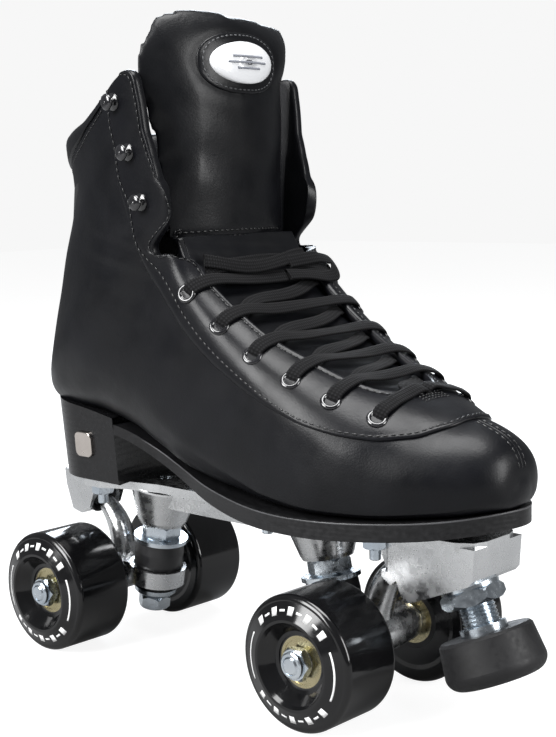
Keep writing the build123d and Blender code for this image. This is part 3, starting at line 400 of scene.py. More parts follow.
rings = np.array([ring(row) for row in SECTIONS])
stations = np.r_[0, np.cumsum(np.linalg.norm(np.diff(rings, axis=0), axis=2).mean(1))]
thrice = np.swapaxes(np.concatenate([rings] * 3, axis=1), 0, 1)
around = spline(np.arange(3 * OUTLINE), thrice, OUTLINE + np.arange(COLS) * OUTLINE / COLS)
P = spline(stations, np.swapaxes(around, 0, 1), np.linspace(0, stations[-1], ROWS))
down = np.gradient(P, axis=0)
over = (np.roll(P, -1, axis=1) - np.roll(P, 1, axis=1)) / 2
N = unit(np.cross(down, over))
if (N[ROWS // 2, COLS // 4] * (0, 1, 0)).sum() < 0:
    N = -N
surface = BVHTree.FromPolygons(P.reshape(-1, 3).tolist(), grid_faces(ROWS, COLS, wrap_cols=True))


def at(s, k, lift=0.0):
    """Points on the boot's surface, raised along its normal; s is the row and k the column."""
    s, k, lift = np.broadcast_arrays(np.asarray(s, float), np.asarray(k, float), np.asarray(lift, float))
    s = np.clip(s, 0, ROWS - 1.001)
    i, j = np.floor(s).astype(int), np.floor(k).astype(int)
    u, v = (s - i)[..., None], (k - j)[..., None]
    j, j2 = j % COLS, (j + 1) % COLS

    def mix(grid):
        return (grid[i, j] * (1 - u) + grid[i + 1, j] * u) * (1 - v) + (
            grid[i, j2] * (1 - u) + grid[i + 1, j2] * u
        ) * v

    return mix(P) + unit(mix(N)) * lift[..., None]


def normal_at(s, k):
    return at(s, k, 1.0) - at(s, k, 0.0)


def cell(point, face):
    """Row and column of a point on a face of the surface."""
    i, j = divmod(face, COLS)
    corner = P[i, j]
    sides = np.stack([P[i + 1, j] - corner, P[i, (j + 1) % COLS] - corner], 1)
    u, v = np.linalg.lstsq(sides, np.array(point) - corner, rcond=None)[0]
    return i + u, j + v


def from_side(x, z, side):
    """Row and column of the surface seen from one side, at an x and a z."""
    hit = surface.ray_cast(Vector((x, 200 * side, z)), Vector((0, -side, 0)))
    return cell(hit[0], hit[2])


def nearest(point):
    hit = surface.find_nearest(Vector(point))
    return cell(hit[0], hit[2])


def on_column(k, z):
    """Row where a column of the back reaches a height."""
    column = P[ROWS // 2:, int(k) % COLS, 2]
    return ROWS // 2 + np.interp(z, column, np.arange(len(column)))


def rows_per_mm(s, k):
    return 1 / np.maximum(np.linalg.norm(at(np.asarray(s) + 1, k) - at(s, k), axis=-1), 1e-3)


def cols_per_mm(s, k):
    return 1 / np.maximum(np.linalg.norm(at(s, np.asarray(k) + 1) - at(s, k), axis=-1), 1e-3)


# ------------------------------------------------------------------ outlines on the boot
FACING_SEAM = (
    (-26.3, 49.8, 265.5), (-27.0, 48.8, 249), (-23.9, 48.3, 229.2), (-19.7, 47.9, 215.9),
    (-15.4, 47.6, 202.6), (-10.3, 46.7, 192.5), (-6.7, 46.1, 185.1), (-0.6, 46.1, 178.7),
    (12.4, 46.9, 164), (24.6, 47, 153.8), (36.2, 46.8, 146), (59.7, 47.4, 134.5),
    (81, 46.7, 126.9), (98.2, 42.2, 123.2), (112.7, 35, 121.6), (125, 25, 123.1),
    (132.8, 12.4, 126.5),
)
SEAM_TIP = (134.8, 0, 128.0)
SEAM_SPLIT = 4           # index of the seam point opposite the notch
FLAP_EDGE = (
    (-13.5, 51.3, 273.6), (-9.4, 51.4, 274.2), (-6.4, 51.5, 272.6), (-5, 51.5, 270), (-3.3, 50.8, 260.7),
    (-1.9, 50.1, 247.9), (1.3, 49.4, 237.2), (4.4, 48.6, 226.4), (8.0, 46.4, 214.6),
    (8.6, 46, 212), (7.2, 46.1, 208.3), (1.4, 46.9, 201.9), (-2.1, 46.8, 198.4), (-2.4, 46.6, 196),
)
THROAT_EDGE = (
    (-2.4, 46.6, 196), (-1.2, 46.4, 193.4), (1.9, 46, 191.8), (9.8, 43.2, 192.7),
    (12.7, 38, 191.8), (14.8, 34.3, 188), (32.2, 33.2, 171.2), (49.7, 31.1, 159.2),
    (67.4, 27, 150.9), (85.9, 23.4, 142.7), (97, 18.5, 138), (104.5, 11, 135), (108, 0, 134),
)
THROAT_TIP = (108, 0, 136.5)
EYELETS = (
    (16.8, 45.7, 177.5), (33.8, 43.8, 163.9), (51.4, 42.3, 152.1), (70.9, 40.5, 142.9),
    (89.3, 37, 135.4), (107.7, 30.4, 129.1),
)
HOOKS = ((-21.2, 50.1, 260.9), (-13.6, 49.3, 238.9), (-7.3, 48.3, 217.1))
FACING_RISE = 1.2


def cells_of(points, side):
    return [nearest((x, side * y, z)) for x, y, z in points]


def seam_cells(side):
    return np.array(cells_of(FACING_SEAM, side) + [(nearest(SEAM_TIP)[0], float(RIDGE))])


def flap_cells(side):
    return np.array(cells_of(FLAP_EDGE, side))


def throat_cells(side):
    return np.array(cells_of(THROAT_EDGE[:-1], side) + [(nearest(THROAT_TIP)[0], float(RIDGE))])


def resample(cells, count):
    """Even spacing, measured on the surface, along a line of cells."""
    fine = np.concatenate(
        [np.linspace(a, b, 8, endpoint=False) for a, b in zip(cells[:-1], cells[1:])] + [cells[-1:]]
    )
    along = lengths(at(fine[:, 0], fine[:, 1]))
    even = np.linspace(0, along[-1], count)
    return np.stack([np.interp(even, along, fine[:, 0]), np.interp(even, along, fine[:, 1])], 1)


def rounded(cells, passes):
    """Softens the corners of a line of cells, keeping its ends."""
    cells = cells.copy()
    for _ in range(passes):
        cells[1:-1] = (cells[:-2] + 2 * cells[1:-1] + cells[2:]) / 4
    return cells


FLAP_STEPS, THROAT_STEPS = 90, 150


def facing_lines(side):
    """Outer seam and inner edge with matching points, from the top corner to the toe end."""
    seam, flap, gap = seam_cells(side), flap_cells(side), throat_cells(side)
    outer = np.concatenate([
        resample(seam[:SEAM_SPLIT + 1], FLAP_STEPS)[:-1], resample(seam[SEAM_SPLIT:], THROAT_STEPS)
    ])
    inner = np.concatenate([resample(flap, FLAP_STEPS)[:-1], resample(gap, THROAT_STEPS)])
    return rounded(outer, 6), rounded(inner, 3)


lines = {side: facing_lines(side) for side in (-1, 1)}
outer_line = np.concatenate([lines[-1][0], lines[1][0][::-1][1:]])
inner_line = np.concatenate([lines[-1][1], lines[1][1][::-1][1:]])


def between(a, b, share):
    return a + (b - a) * share


def gap_width():
    fine = [between(outer_line, inner_line, w) for w in np.linspace(0, 1, 9)]
    places = np.array([at(c[:, 0], c[:, 1]) for c in fine])
    return np.linalg.norm(np.diff(places, axis=0), axis=2).sum(0)


facing_wide = gap_width()


def facing_at(inset, lift, from_inner=False):
    """Line on the facing at a distance from its outer or inner edge."""
    share = np.clip(inset / facing_wide, 0, 0.98)[:, None]
    cells = between(inner_line, outer_line, share) if from_inner else between(outer_line, inner_line, share)
    return at(cells[:, 0], cells[:, 1], lift), normal_at(cells[:, 0], cells[:, 1])


# ------------------------------------------------------------------ stitches and strips
def stitches(name, rows, body, look=THREAD, length=2.3, pitch=3.1, radius=0.33):
    """Rows of raised thread: each row is (points, normals)."""
    sides, rings_ = 6, ((-1.0, 0.25), (-0.8, 0.8), (-0.3, 1.0), (0.3, 1.0), (0.8, 0.8), (1.0, 0.25))
    points, faces = [], []
    for line, normals in rows:
        along = lengths(line)
        count = max(1, int(along[-1] / pitch))
        for i in range(count):
            centre_at = (i + 0.5) * along[-1] / count
            a = np.array([np.interp(centre_at - length / 2, along, c) for c in line.T])
            b = np.array([np.interp(centre_at + length / 2, along, c) for c in line.T])
            n = unit([np.interp(centre_at, along, c) for c in normals.T])
            middle, heading = (a + b) / 2, unit(b - a)
            side = np.cross(n, heading)
            start = len(points)
            for t, wide in rings_:
                sink = -0.35 * radius * t * t
                for q in range(sides):
                    turn = 2 * pi * q / sides
                    points.append(
                        middle + heading * t * length / 2 + n * (sink + 0.05)
                        + (side * cos(turn) * 1.15 + n * sin(turn)) * radius * wide
                    )
            last = len(rings_) - 1
            for r in range(last):
                for q in range(sides):
                    q2 = (q + 1) % sides
                    faces.append((start + r * sides + q, start + (r + 1) * sides + q,
                                  start + (r + 1) * sides + q2, start + r * sides + q2))
            faces.append([start + q for q in range(sides)])
            faces.append([start + last * sides + q for q in reversed(range(sides))])
    return make(name, points, faces, look, body)


def strip(path, normals, width, thick, twist=None, crown=0.12):
    """Flat braid along a path: points, faces and weave coordinates in metres."""
    shape = []
    for turn in np.linspace(0, 2 * pi, 16, endpoint=False):
        c, s = cos(turn), sin(turn)
        y = width / 2 * np.sign(c) * abs(c) ** 0.42
        z = thick / 2 * np.sign(s) * abs(s) ** 0.6 + crown * thick * (1 - (2 * y / width) ** 2) * s
        shape.append((y, z))
    shape = np.array(shape)
    path = np.asarray(path, float)
    heading = unit(np.gradient(path, axis=0))
    side = unit(np.cross(heading, normals))
    lift = unit(np.cross(side, heading))
    if twist is not None:
        c, s = np.cos(twist)[:, None], np.sin(twist)[:, None]
        side, lift = side * c + lift * s, lift * c - side * s
    points = path[:, None] + side[:, None] * shape[None, :, :1] + lift[:, None] * shape[None, :, 1:]
    count = len(path)
    faces = grid_faces(count, 16, wrap_cols=True)
    faces += [tuple(range(16))[::-1], tuple((count - 1) * 16 + q for q in range(16))]
    along = lengths(path) * MM
    uvs = np.stack([np.repeat(along, 16), np.tile(shape[:, 0] * MM, count)], 1)
    return points.reshape(-1, 3), faces, uvs


def joined(parts):
    points, faces, uvs, start = [], [], [], 0
    for p, f, uv in parts:
        points.append(p)
        uvs.append(uv)
        faces += [[start + i for i in face] for face in f]
        start += len(p)
    return np.concatenate(points), faces, np.concatenate(uvs)


def bead(path, normals, radius, flat=1.0, sides=10):
    """Thin rounded cord along a path."""
    path = np.asarray(path, float)
    heading = unit(np.gradient(path, axis=0))
    side = unit(np.cross(heading, normals))
    lift = unit(np.cross(side, heading))
    turn = np.linspace(0, 2 * pi, sides, endpoint=False)
    points = (
        path[:, None] + side[:, None] * (np.cos(turn) * radius)[None, :, None]
        + lift[:, None] * (np.sin(turn) * radius * flat)[None, :, None]
    )
    count = len(path)
    faces = grid_faces(count, sides, wrap_cols=True)
    faces += [tuple(range(sides))[::-1], tuple((count - 1) * sides + q for q in range(sides))]
    uvs = np.zeros((count * sides, 2))
    return points.reshape(-1, 3), faces, uvs


# ------------------------------------------------------------------ upper panels
COLLAR_SEAM = (
    (-27.0, 263.5), (-40, 255), (-55, 246), (-72, 238), (-88, 231.5), (-94, 229.5),
)
# shoulder of the collar roll, which rises further over it by COLLAR_RISE
TOP_LINE = (
    (-27.0, 263.2), (-33, 259.6), (-39, 255.4), (-43.6, 252.9), (-52, 248.6), (-75, 243.2), (-92, 242),
)
SEAM_BACK_Z = 228.5
TOP_BACK_Z = 241.5
UNDERLAP = 5.0
PANEL_THICK = 2.5

s_grid, k_grid = np.meshgrid(np.arange(ROWS), np.arange(COLS), indexing="ij")
seam_far = {side: lines[side][0] for side in (-1, 1)}


def seam_reach(side):
    """How many columns from the ridge the panel under the facing starts, for every row."""
    line = seam_far[side]
    order = np.argsort(line[:, 0])
    wide = np.interp(np.arange(ROWS), line[order, 0], np.abs(line[order, 1] - RIDGE), left=-9)
    return wide - UNDERLAP * cols_per_mm(np.arange(ROWS), RIDGE - side * wide)


reach = np.where(k_grid > RIDGE, seam_reach(-1)[:, None], seam_reach(1)[:, None])
inside_facing = np.abs(k_grid - RIDGE) < reach
seam_x, seam_z = np.array(COLLAR_SEAM).T
above_collar = P[..., 2] > np.interp(P[..., 0], seam_x[::-1], seam_z[::-1]) + 4.0
gone = inside_facing | above_collar

wave_lift = (
    0.22 * np.sin(P[..., 0] * 0.09 + P[..., 2] * 0.05) * np.sin(P[..., 2] * 0.11 + P[..., 1] * 0.03)
    + 0.12 * np.sin(P[..., 0] * 0.21 - P[..., 2] * 0.17)
)
ankle = np.exp(-(((P[..., 0] + 20) / 30) ** 2 + ((P[..., 2] - 190) / 14) ** 2))
wave_lift += ankle * 0.35 * np.sin(P[..., 2] * 0.55 + P[..., 0] * 0.12)
panel_points = P + N * wave_lift[..., None]
faces = [
    f for f in grid_faces(ROWS, COLS, wrap_cols=True)
    if not any(gone[divmod(v, COLS)] for v in f)
]
cap_points = []
for share in (0.75, 0.5, 0.25):
    middle = P[0].mean(0)
    cap_points.append(middle + (P[0] - middle) * share + np.array((1.0, 0, 0)) * (1 - share**2))
points = panel_points.reshape(-1, 3)
start = len(points)
points = np.concatenate([points, *cap_points, [P[0].mean(0) + (1.0, 0, 0)]])
rings_of = [np.arange(COLS)] + [start + i * COLS + np.arange(COLS) for i in range(3)]
for near_ring, far_ring in zip(rings_of[:-1], rings_of[1:]):
    for j in range(COLS):
        j2 = (j + 1) % COLS
        faces.append((near_ring[j2], far_ring[j2], far_ring[j], near_ring[j]))
tip = len(points) - 1
faces += [(rings_of[-1][(j + 1) % COLS], tip, rings_of[-1][j]) for j in range(COLS)]
upper = make("upper_panels", points, faces, [LEATHER, LINING])


def drop_loose(obj):
    import bmesh
    work = bmesh.new()
    work.from_mesh(obj.data)
    bmesh.ops.delete(work, geom=[v for v in work.verts if not v.link_faces], context="VERTS")
    bmesh.ops.recalc_face_normals(work, faces=work.faces)
    work.to_mesh(obj.data)
    work.free()


def outward(obj):
    """Turns an open shell so that its faces look away from the boot's inside."""
    mesh = obj.data
    centre = Vector((0.0, 0.0, 0.15))
    votes = sum(
        1 if (p.center - centre).dot(p.normal) > 0 else -1 for p in list(mesh.polygons)[::37]
    )
    if votes < 0:
        mesh.flip_normals()


drop_loose(upper)
outward(upper)
solid = upper.modifiers.new("thickness", "SOLIDIFY")
solid.thickness = PANEL_THICK * MM
solid.offset = -1
solid.material_offset = 1
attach(upper, "chassis")
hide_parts("side_panel_right", "side_panel_left", "heel_counter")

# ------------------------------------------------------------------ facing
EDGE_PROFILE = (
    (0.0, -0.5), (0.0, 0.55), (0.25, 0.95), (0.8, 1.18), (1.6, 1.2), (2.2, 1.12), (3.0, 1.2),
)
INNER_PROFILE = (
    (3.9, 1.2), (3.2, 1.12), (2.8, 1.28), (2.0, 1.62), (1.1, 1.68), (0.4, 1.3), (0.0, 0.6),
    (-0.15, -0.6), (0.0, -1.9), (0.5, -2.7), (1.6, -3.0),
)
SPAN = 8


def facing_rows():
    rows = []
    for inset, lift in EDGE_PROFILE:
        rows.append(facing_at(inset, lift)[0])
    for share in np.linspace(0, 1, SPAN + 2)[1:-1]:
        inset = 3.0 + (facing_wide - 3.0 - 3.9) * share
        rows.append(facing_at(inset, 1.2 + 0.25 * sin(pi * share))[0])
    for inset, lift in INNER_PROFILE:
        share = (inset / facing_wide)[:, None]
        cells = between(inner_line, outer_line, share)
        rows.append(at(cells[:, 0], cells[:, 1], lift))
    for share in np.linspace(0, 1, SPAN + 2)[1:]:
        rows.append(facing_at(1.6 + (facing_wide - 1.6) * share, -3.0, True)[0])
    return np.array(rows)


rows = facing_rows()
count, across = rows.shape[1], rows.shape[0]
faces = grid_faces(count, across, wrap_cols=True)
faces += [tuple(range(across))[::-1], tuple((count - 1) * across + q for q in range(across))]
points = np.swapaxes(rows, 0, 1).reshape(-1, 3)
inner_start = len(EDGE_PROFILE) + SPAN + len(INNER_PROFILE)
which = [1 if (f[0] % across) >= inner_start - 2 else 0 for f in faces]
facing = make("facing", points, faces, [FACING_LEATHER, LEATHER], "chassis", which=which)
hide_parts("facing_right", "facing_left")

rows = [facing_at(1.9, 1.25), facing_at(3.4, 1.3, True)]
top = between(inner_line[0], outer_line[0], np.linspace(0.12, 0.9, 20)[:, None])
stitches("facing_stitches", rows, "chassis")

# ------------------------------------------------------------------ collar
COLLAR_RISE_FRONT, COLLAR_RISE_BACK = 3.2, 8.0
COLLAR_THICK_BACK, COLLAR_THICK_FRONT = 12.0, 6.0
COLLAR_STEPS = 64
COLLAR_DEPTH = 42.0


def collar_line(points, back_z):
    """Cells along a collar line from the lateral seam round the back to the medial seam."""
    near = [from_side(x, z, -1) for x, z in points]
    far = [from_side(x, z, 1) for x, z in points]
    near.append((on_column(0, back_z), float(COLS)))
    cells = near + [(s, k + COLS) for s, k in reversed(far)]
    return rounded(resample(np.array(cells), 2 * COLLAR_STEPS + 1), 6)


low_line = collar_line(COLLAR_SEAM, SEAM_BACK_Z)
top_line = collar_line(TOP_LINE, TOP_BACK_Z)
round_back = np.sin(np.linspace(0, pi, len(low_line))) ** 0.6
thick = COLLAR_THICK_FRONT + (COLLAR_THICK_BACK - COLLAR_THICK_FRONT) * round_back
top_points = at(top_line[:, 0], top_line[:, 1])
top_normals = normal_at(top_line[:, 0], top_line[:, 1])
climb = unit(at(top_line[:, 0] + 1, top_line[:, 1]) - top_points)
puff = 0.5 + 0.7 * round_back
rise = COLLAR_RISE_FRONT + (COLLAR_RISE_BACK - COLLAR_RISE_FRONT) * round_back
collar_rows = []
for share, lift in ((-0.05, -1.6), (0.0, -0.4), (0.04, 0.25), (0.14, 0.8), (0.35, 1.0), (0.65, 1.0), (0.9, 0.9)):
    cells = between(low_line, top_line, share)
    collar_rows.append(at(cells[:, 0], cells[:, 1], lift * puff))
for turn in np.linspace(0, pi, 15):
    mid = -thick / 2 + 0.45 * puff
    out = mid + (thick / 2 + 0.45 * puff) * cos(turn)
    collar_rows.append(
        top_points + top_normals * out[:, None] + climb * (rise * sin(turn) ** 0.8)[:, None]
    )
for depth, share in ((6, 1.0), (14, 0.98), (24, 0.9), (34, 0.72), (40, 0.5), (COLLAR_DEPTH, 0.3)):
    rows_down = depth * rows_per_mm(top_line[:, 0] - 10, top_line[:, 1])
    collar_rows.append(at(top_line[:, 0] - rows_down, top_line[:, 1], -thick * share))
collar_rows.append(at(top_line[:, 0] - rows_down, top_line[:, 1], -1.5))
collar_rows = np.array(collar_rows)
count, across = collar_rows.shape[1], collar_rows.shape[0]
faces = grid_faces(count, across, wrap_cols=True)
faces += [tuple(range(across))[::-1], tuple((count - 1) * across + q for q in range(across))]
collar = make(
    "collar_roll", np.swapaxes(collar_rows, 0, 1).reshape(-1, 3), faces, SOFT_LEATHER,
    "chassis",
)
drop_loose(collar)
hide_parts("collar_padding")
stitch_cells = between(low_line, top_line, -0.05)
s_down = stitch_cells[:, 0] - 2.4 * rows_per_mm(stitch_cells[:, 0], stitch_cells[:, 1])
stitches(
    "collar_stitches",
    [(at(s_down, stitch_cells[:, 1], 0.05)[4:-4], normal_at(s_down, stitch_cells[:, 1])[4:-4])],
    "chassis",
)

# ------------------------------------------------------------------ back stay and toe seam
STAY_HALF = 9.0
stay_rows = np.linspace(on_column(0, 124), on_column(0, SEAM_BACK_Z) - 1, 90)
stay_wide = STAY_HALF * cols_per_mm(stay_rows, np.zeros(90)) * np.linspace(1.15, 0.85, 90)
stay = []
for share, lift in (
    (-1.02, -0.6), (-1.0, 0.5), (-0.93, 0.85), (-0.8, 0.9), (-0.4, 0.9), (0, 0.95), (0.4, 0.9),
    (0.8, 0.9), (0.93, 0.85), (1.0, 0.5), (1.02, -0.6),
):
    stay.append(at(stay_rows, COLS + share * stay_wide, lift))
stay = np.array(stay)
faces = grid_faces(stay.shape[1], stay.shape[0], wrap_cols=True)
faces += [tuple(range(11))[::-1], tuple(89 * 11 + q for q in range(11))]
back_stay = make("back_stay", np.swapaxes(stay, 0, 1).reshape(-1, 3), faces, FACING_LEATHER, "chassis")
drop_loose(back_stay)
stitches(
    "back_stay_stitches",
    [
        (at(stay_rows, COLS + share * stay_wide, 0.92), normal_at(stay_rows, COLS + share * stay_wide))
        for share in (-0.8, 0.8)
    ],
    "chassis",
)

toe_rows = np.linspace(nearest((157, 0, 100))[0] + 3, lines[-1][0][-1][0] - 1, 60)
toe_seam = bead(at(toe_rows, np.full(60, RIDGE), 0.0), normal_at(toe_rows, np.full(60, RIDGE)), 0.55, 0.7)
make("toe_seam", toe_seam[0], toe_seam[1], LEATHER, "chassis")
toe_shift = 2.2 * cols_per_mm(toe_rows, np.full(60, RIDGE))
stitches(
    "toe_stitches",
    [
        (at(toe_rows, RIDGE + side * toe_shift, 0.1), normal_at(toe_rows, RIDGE + side * toe_shift))
        for side in (-1, 1)
    ],
    "chassis",
)
tacks = []
for x in (112.4, 114.2, 116.0):
    row = nearest((x, 0, 137))[0]
    cols = RIDGE + np.linspace(-8.5, 8.5, 24) * cols_per_mm(row, RIDGE)
    tacks.append((at(row, cols, 1.45), normal_at(np.full(24, row), cols)))
stitches("throat_tack", tacks, "chassis", length=1.7, pitch=2.0)

# ------------------------------------------------------------------ lower tongue
TONGUE_UNDER = 3.7
TONGUE_THICK = 4.4
tongue_rows = np.linspace(nearest(THROAT_TIP)[0] - 2, nearest((11, 0, 202))[0], 110)


def throat_reach(side):
    line = lines[side][1][FLAP_STEPS + 20:]
    order = np.argsort(line[:, 0])
    wide = np.interp(tongue_rows, line[order, 0], np.abs(line[order, 1] - RIDGE))
    return wide + 7.0 * cols_per_mm(tongue_rows, np.full(len(tongue_rows), RIDGE))


low_reach, high_reach = throat_reach(-1), throat_reach(1)
tongue_grid = []
spread = np.linspace(-1, 1, 41)
for t, lift in [(t, -TONGUE_UNDER) for t in spread] + [(t, -TONGUE_UNDER - TONGUE_THICK) for t in spread[::-1]]:
    wide = np.where(t < 0, high_reach, low_reach)
    ripple = 0.25 * np.sin(tongue_rows * 0.31 + t * 4) + 0.15 * np.sin(tongue_rows * 0.8 - t * 7)
    edge = 0.6 * abs(t) ** 8 + 3.2 * np.clip(np.linspace(-7, 1, len(tongue_rows)), 0, 1) ** 2
    tongue_grid.append(at(tongue_rows, RIDGE + t * wide, lift + ripple * (1 - abs(t)) - edge))
tongue_grid = np.array(tongue_grid)
faces = grid_faces(tongue_grid.shape[1], tongue_grid.shape[0], wrap_cols=True)
across = tongue_grid.shape[0]
faces += [tuple(range(across))[::-1], tuple((len(tongue_rows) - 1) * across + q for q in range(across))]
tongue_low = make(
    "tongue_lower", np.swapaxes(tongue_grid, 0, 1).reshape(-1, 3), faces, SOFT_LEATHER, "chassis"
)
drop_loose(tongue_low)
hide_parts("tongue")

# ------------------------------------------------------------------ upper tongue
# height, front x, reach to the lateral and to the medial side, thickness
TONGUE_LEVELS = (
    (196.6, 5.0, 33.0, 42.0, 3.0), (199.4, 5.6, 35.5, 44.5, 5.0), (206, 6.3, 37.0, 45.5, 6.5),
    (214, 6.8, 38.5, 46.0, 7.6), (240, 8.2, 41.0, 45.0, 9.0), (268, 9.4, 47.5, 45.5, 9.4),
    (277, 9.2, 48.0, 45.5, 9.2), (286, 8.6, 45.5, 46.0, 9.0), (293, 6.8, 41.0, 47.5, 8.6),
    (299, 3.8, 34.5, 48.5, 7.6), (302.6, 1.4, 24.0, 48.0, 6.0),
)
TONGUE_CURVE = 62.0
SWELL_CAP = 1.6
PATCH = (25.0, 13.6)
BADGE_Y, BADGE_Z = 1.0, 278.0


def tongue_shape(shrink):
    levels = np.array(TONGUE_LEVELS)
    heights = np.linspace(levels[0, 0], levels[-1, 0], 60)
    front, near, far, deep = spline(levels[:, 0], levels[:, 1:], heights).T
    half, middle = (near + far) / 2, (far - near) / 2
    rows = []
    for turn in np.linspace(0, 2 * pi, 72, endpoint=False):
        c, s = cos(turn), sin(turn)
        y = middle + (half - shrink) * np.sign(c) * abs(c) ** 0.62
        opened = 45 * np.clip((heights - 272) / 20, 0, 1) * (y > 0)
        sag = y**2 / (2 * (TONGUE_CURVE + opened))
        out = (deep - 2 * shrink) / 2 * np.sign(s) * abs(s) ** 0.8 * (1 - 0.3 * (y / half) ** 2)
        droop = 0.066 * (y + 25) * (np.maximum(heights - 250, 0) / 50) ** 2
        rows.append(np.stack([front - deep / 2 - sag + out, y, heights - droop], 1))
    return np.array(rows)


def settle(obj, cap, voxel=1.7, frames=20):
    """Cloth under pressure: the padding swells until the leather holds it."""
    remesh = obj.modifiers.new("remesh", "REMESH")
    remesh.mode = "VOXEL"
    remesh.voxel_size = voxel * MM
    even = obj.modifiers.new("even", "SMOOTH")
    even.factor, even.iterations = 0.5, 8
    apply_all(obj)
    before = np.array([v.co[:] for v in obj.data.vertices])
    cloth = obj.modifiers.new("cloth", "CLOTH")
    cloth.settings.use_pressure = True
    cloth.settings.uniform_pressure_force = 4.0
    cloth.settings.tension_stiffness = 20
    cloth.settings.compression_stiffness = 20
    cloth.settings.bending_stiffness = 3
    cloth.settings.effector_weights.gravity = 0
    cloth.collision_settings.use_collision = False
    cloth.point_cache.frame_start = 1
    cloth.point_cache.frame_end = frames
    for now in range(1, frames + 1):
        scene.frame_set(now)
    seen = obj.evaluated_get(bpy.context.evaluated_depsgraph_get())
    after = np.array([v.co[:] for v in seen.data.vertices])
    obj.modifiers.remove(cloth)
    scene.frame_set(1)
    move = after - before
    size = np.linalg.norm(move, axis=1, keepdims=True)
    move *= np.minimum(1, cap * MM / np.maximum(size, 1e-9))
    obj.data.vertices.foreach_set("co", (before + move).ravel())
    obj.data.update()


def apply_all(obj):
    seen = obj.evaluated_get(bpy.context.evaluated_depsgraph_get())
    mesh = bpy.data.meshes.new_from_object(seen)
    old = obj.data
    obj.modifiers.clear()
    obj.data = mesh
    bpy.data.meshes.remove(old)


shape = tongue_shape(1.0)
turns, heights = shape.shape[:2]
faces = grid_faces(turns, heights, wrap_rows=True)
faces += [tuple(i * heights for i in range(turns)), tuple(i * heights + heights - 1 for i in range(turns))[::-1]]
tongue_up = make("tongue_upper_pad", shape.reshape(-1, 3), faces, SOFT_LEATHER)
drop_loose(tongue_up)
settle(tongue_up, SWELL_CAP)
sub = tongue_up.modifiers.new("smooth", "SUBSURF")
sub.levels = sub.render_levels = 1
apply_all(tongue_up)
mesh = tongue_up.data
co = np.array([v.co[:] for v in mesh.vertices]) / MM
across_badge = (co[:, 1] - BADGE_Y) / PATCH[0]
up_badge = (co[:, 2] - BADGE_Z) / PATCH[1]
out = np.hypot(across_badge, up_badge)
middle_x = np.interp(co[:, 2], [z for z, *_ in TONGUE_LEVELS], [x - t / 2 for _, x, _, _, t in TONGUE_LEVELS])
front_side = np.clip((co[:, 0] - middle_x + co[:, 1] ** 2 / (2 * TONGUE_CURVE)) / 3, 0, 1)
front_side *= np.clip((45 - np.abs(co[:, 1])) / 8, 0, 1)
dent = -0.5 * np.exp(-((out - 1.02) / 0.12) ** 2) - 0.3 * (out < 1.0)
swell = 0.3 * np.exp(-((out - 1.4) / 0.3) ** 2)
creases = 0.45 * np.sin(co[:, 2] * 0.21 + 1.3 * np.sin(co[:, 1] * 0.07)) * np.exp(-((co[:, 2] - 232) / 16) ** 2)
creases += 0.25 * np.sin(co[:, 1] * 0.16 + co[:, 2] * 0.05)
row_dent = -0.55 * np.exp(-((co[:, 2] - 202) / 1.6) ** 2)
co[:, 0] += front_side * (dent + swell + creases + row_dent)
mesh.vertices.foreach_set("co", (co * MM).ravel())
mesh.polygons.foreach_set("use_smooth", [True] * len(mesh.polygons))
mesh.update()
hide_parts("tongue_top")
tongue_tree = BVHTree.FromPolygons((co * 1.0).tolist(), [tuple(p.vertices) for p in mesh.polygons])


def tongue_front(y, z, lift=0.0):
    """Points and normals on the front of the upper tongue."""
    places, normals = [], []
    for yy, zz in zip(np.ravel(y), np.ravel(z)):
        hit = tongue_tree.ray_cast(Vector((80, yy, zz)), Vector((-1, 0, 0)))
        if hit[0] is None:
            hit = tongue_tree.find_nearest(Vector((5, yy, zz)))
        n = Vector(hit[1])
        n = n if n.x > 0 else -n
        places.append(np.array(hit[0]) + np.array(n) * lift)
        normals.append(np.array(n))
    return np.array(places), np.array(normals)


def cross_hinge(piece):
    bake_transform(piece)


cross_hinge(tongue_up)
seam_y = np.linspace(-35.5, 35.5, 90)
hem_rows = []
for z in (201.0, 203.6):
    hem_rows.append(tongue_front(seam_y, z - 0.0006 * seam_y**2, 0.1))
hem = stitches("tongue_hem_stitches", hem_rows, None)
cross_hinge(hem)
roll_points, roll_normals = tongue_front(seam_y, 198.6 - 0.0006 * seam_y**2, 0.15)
roll = bead(roll_points, roll_normals, 1.5, 0.62, 12)
roll_piece = make("tongue_rolled_edge", roll[0], roll[1], FACING_LEATHER)
cross_hinge(roll_piece)

# ------------------------------------------------------------------ badge
def disc(half_y, half_z, profile, lift, power=2.0, turns=96):
    """Domed plate on the tongue: profile lists (share of the radius, height)."""
    rows = []
    turn = np.linspace(0, 2 * pi, turns, endpoint=False)
    c, s = np.cos(turn), np.sin(turn)
    y = half_y * np.sign(c) * np.abs(c) ** (2 / power)
    z = half_z * np.sign(s) * np.abs(s) ** (2 / power)
    for share, height in profile:
        base, _ = tongue_front(BADGE_Y + y * share, BADGE_Z + z * share, lift)
        rows.append((base, height))
    centre, normal = tongue_front([BADGE_Y], [BADGE_Z], lift)
    flat = centre[0]
    points = [base + normal[0] * height for base, height in rows]
    top = flat + normal[0] * profile[-1][1]
    points = np.concatenate([*points, [top]])
    faces = grid_faces(len(profile), turns, wrap_cols=True)
    last = (len(profile) - 1) * turns
    faces += [(last + j, last + (j + 1) % turns, len(points) - 1) for j in range(turns)]
    return points, faces


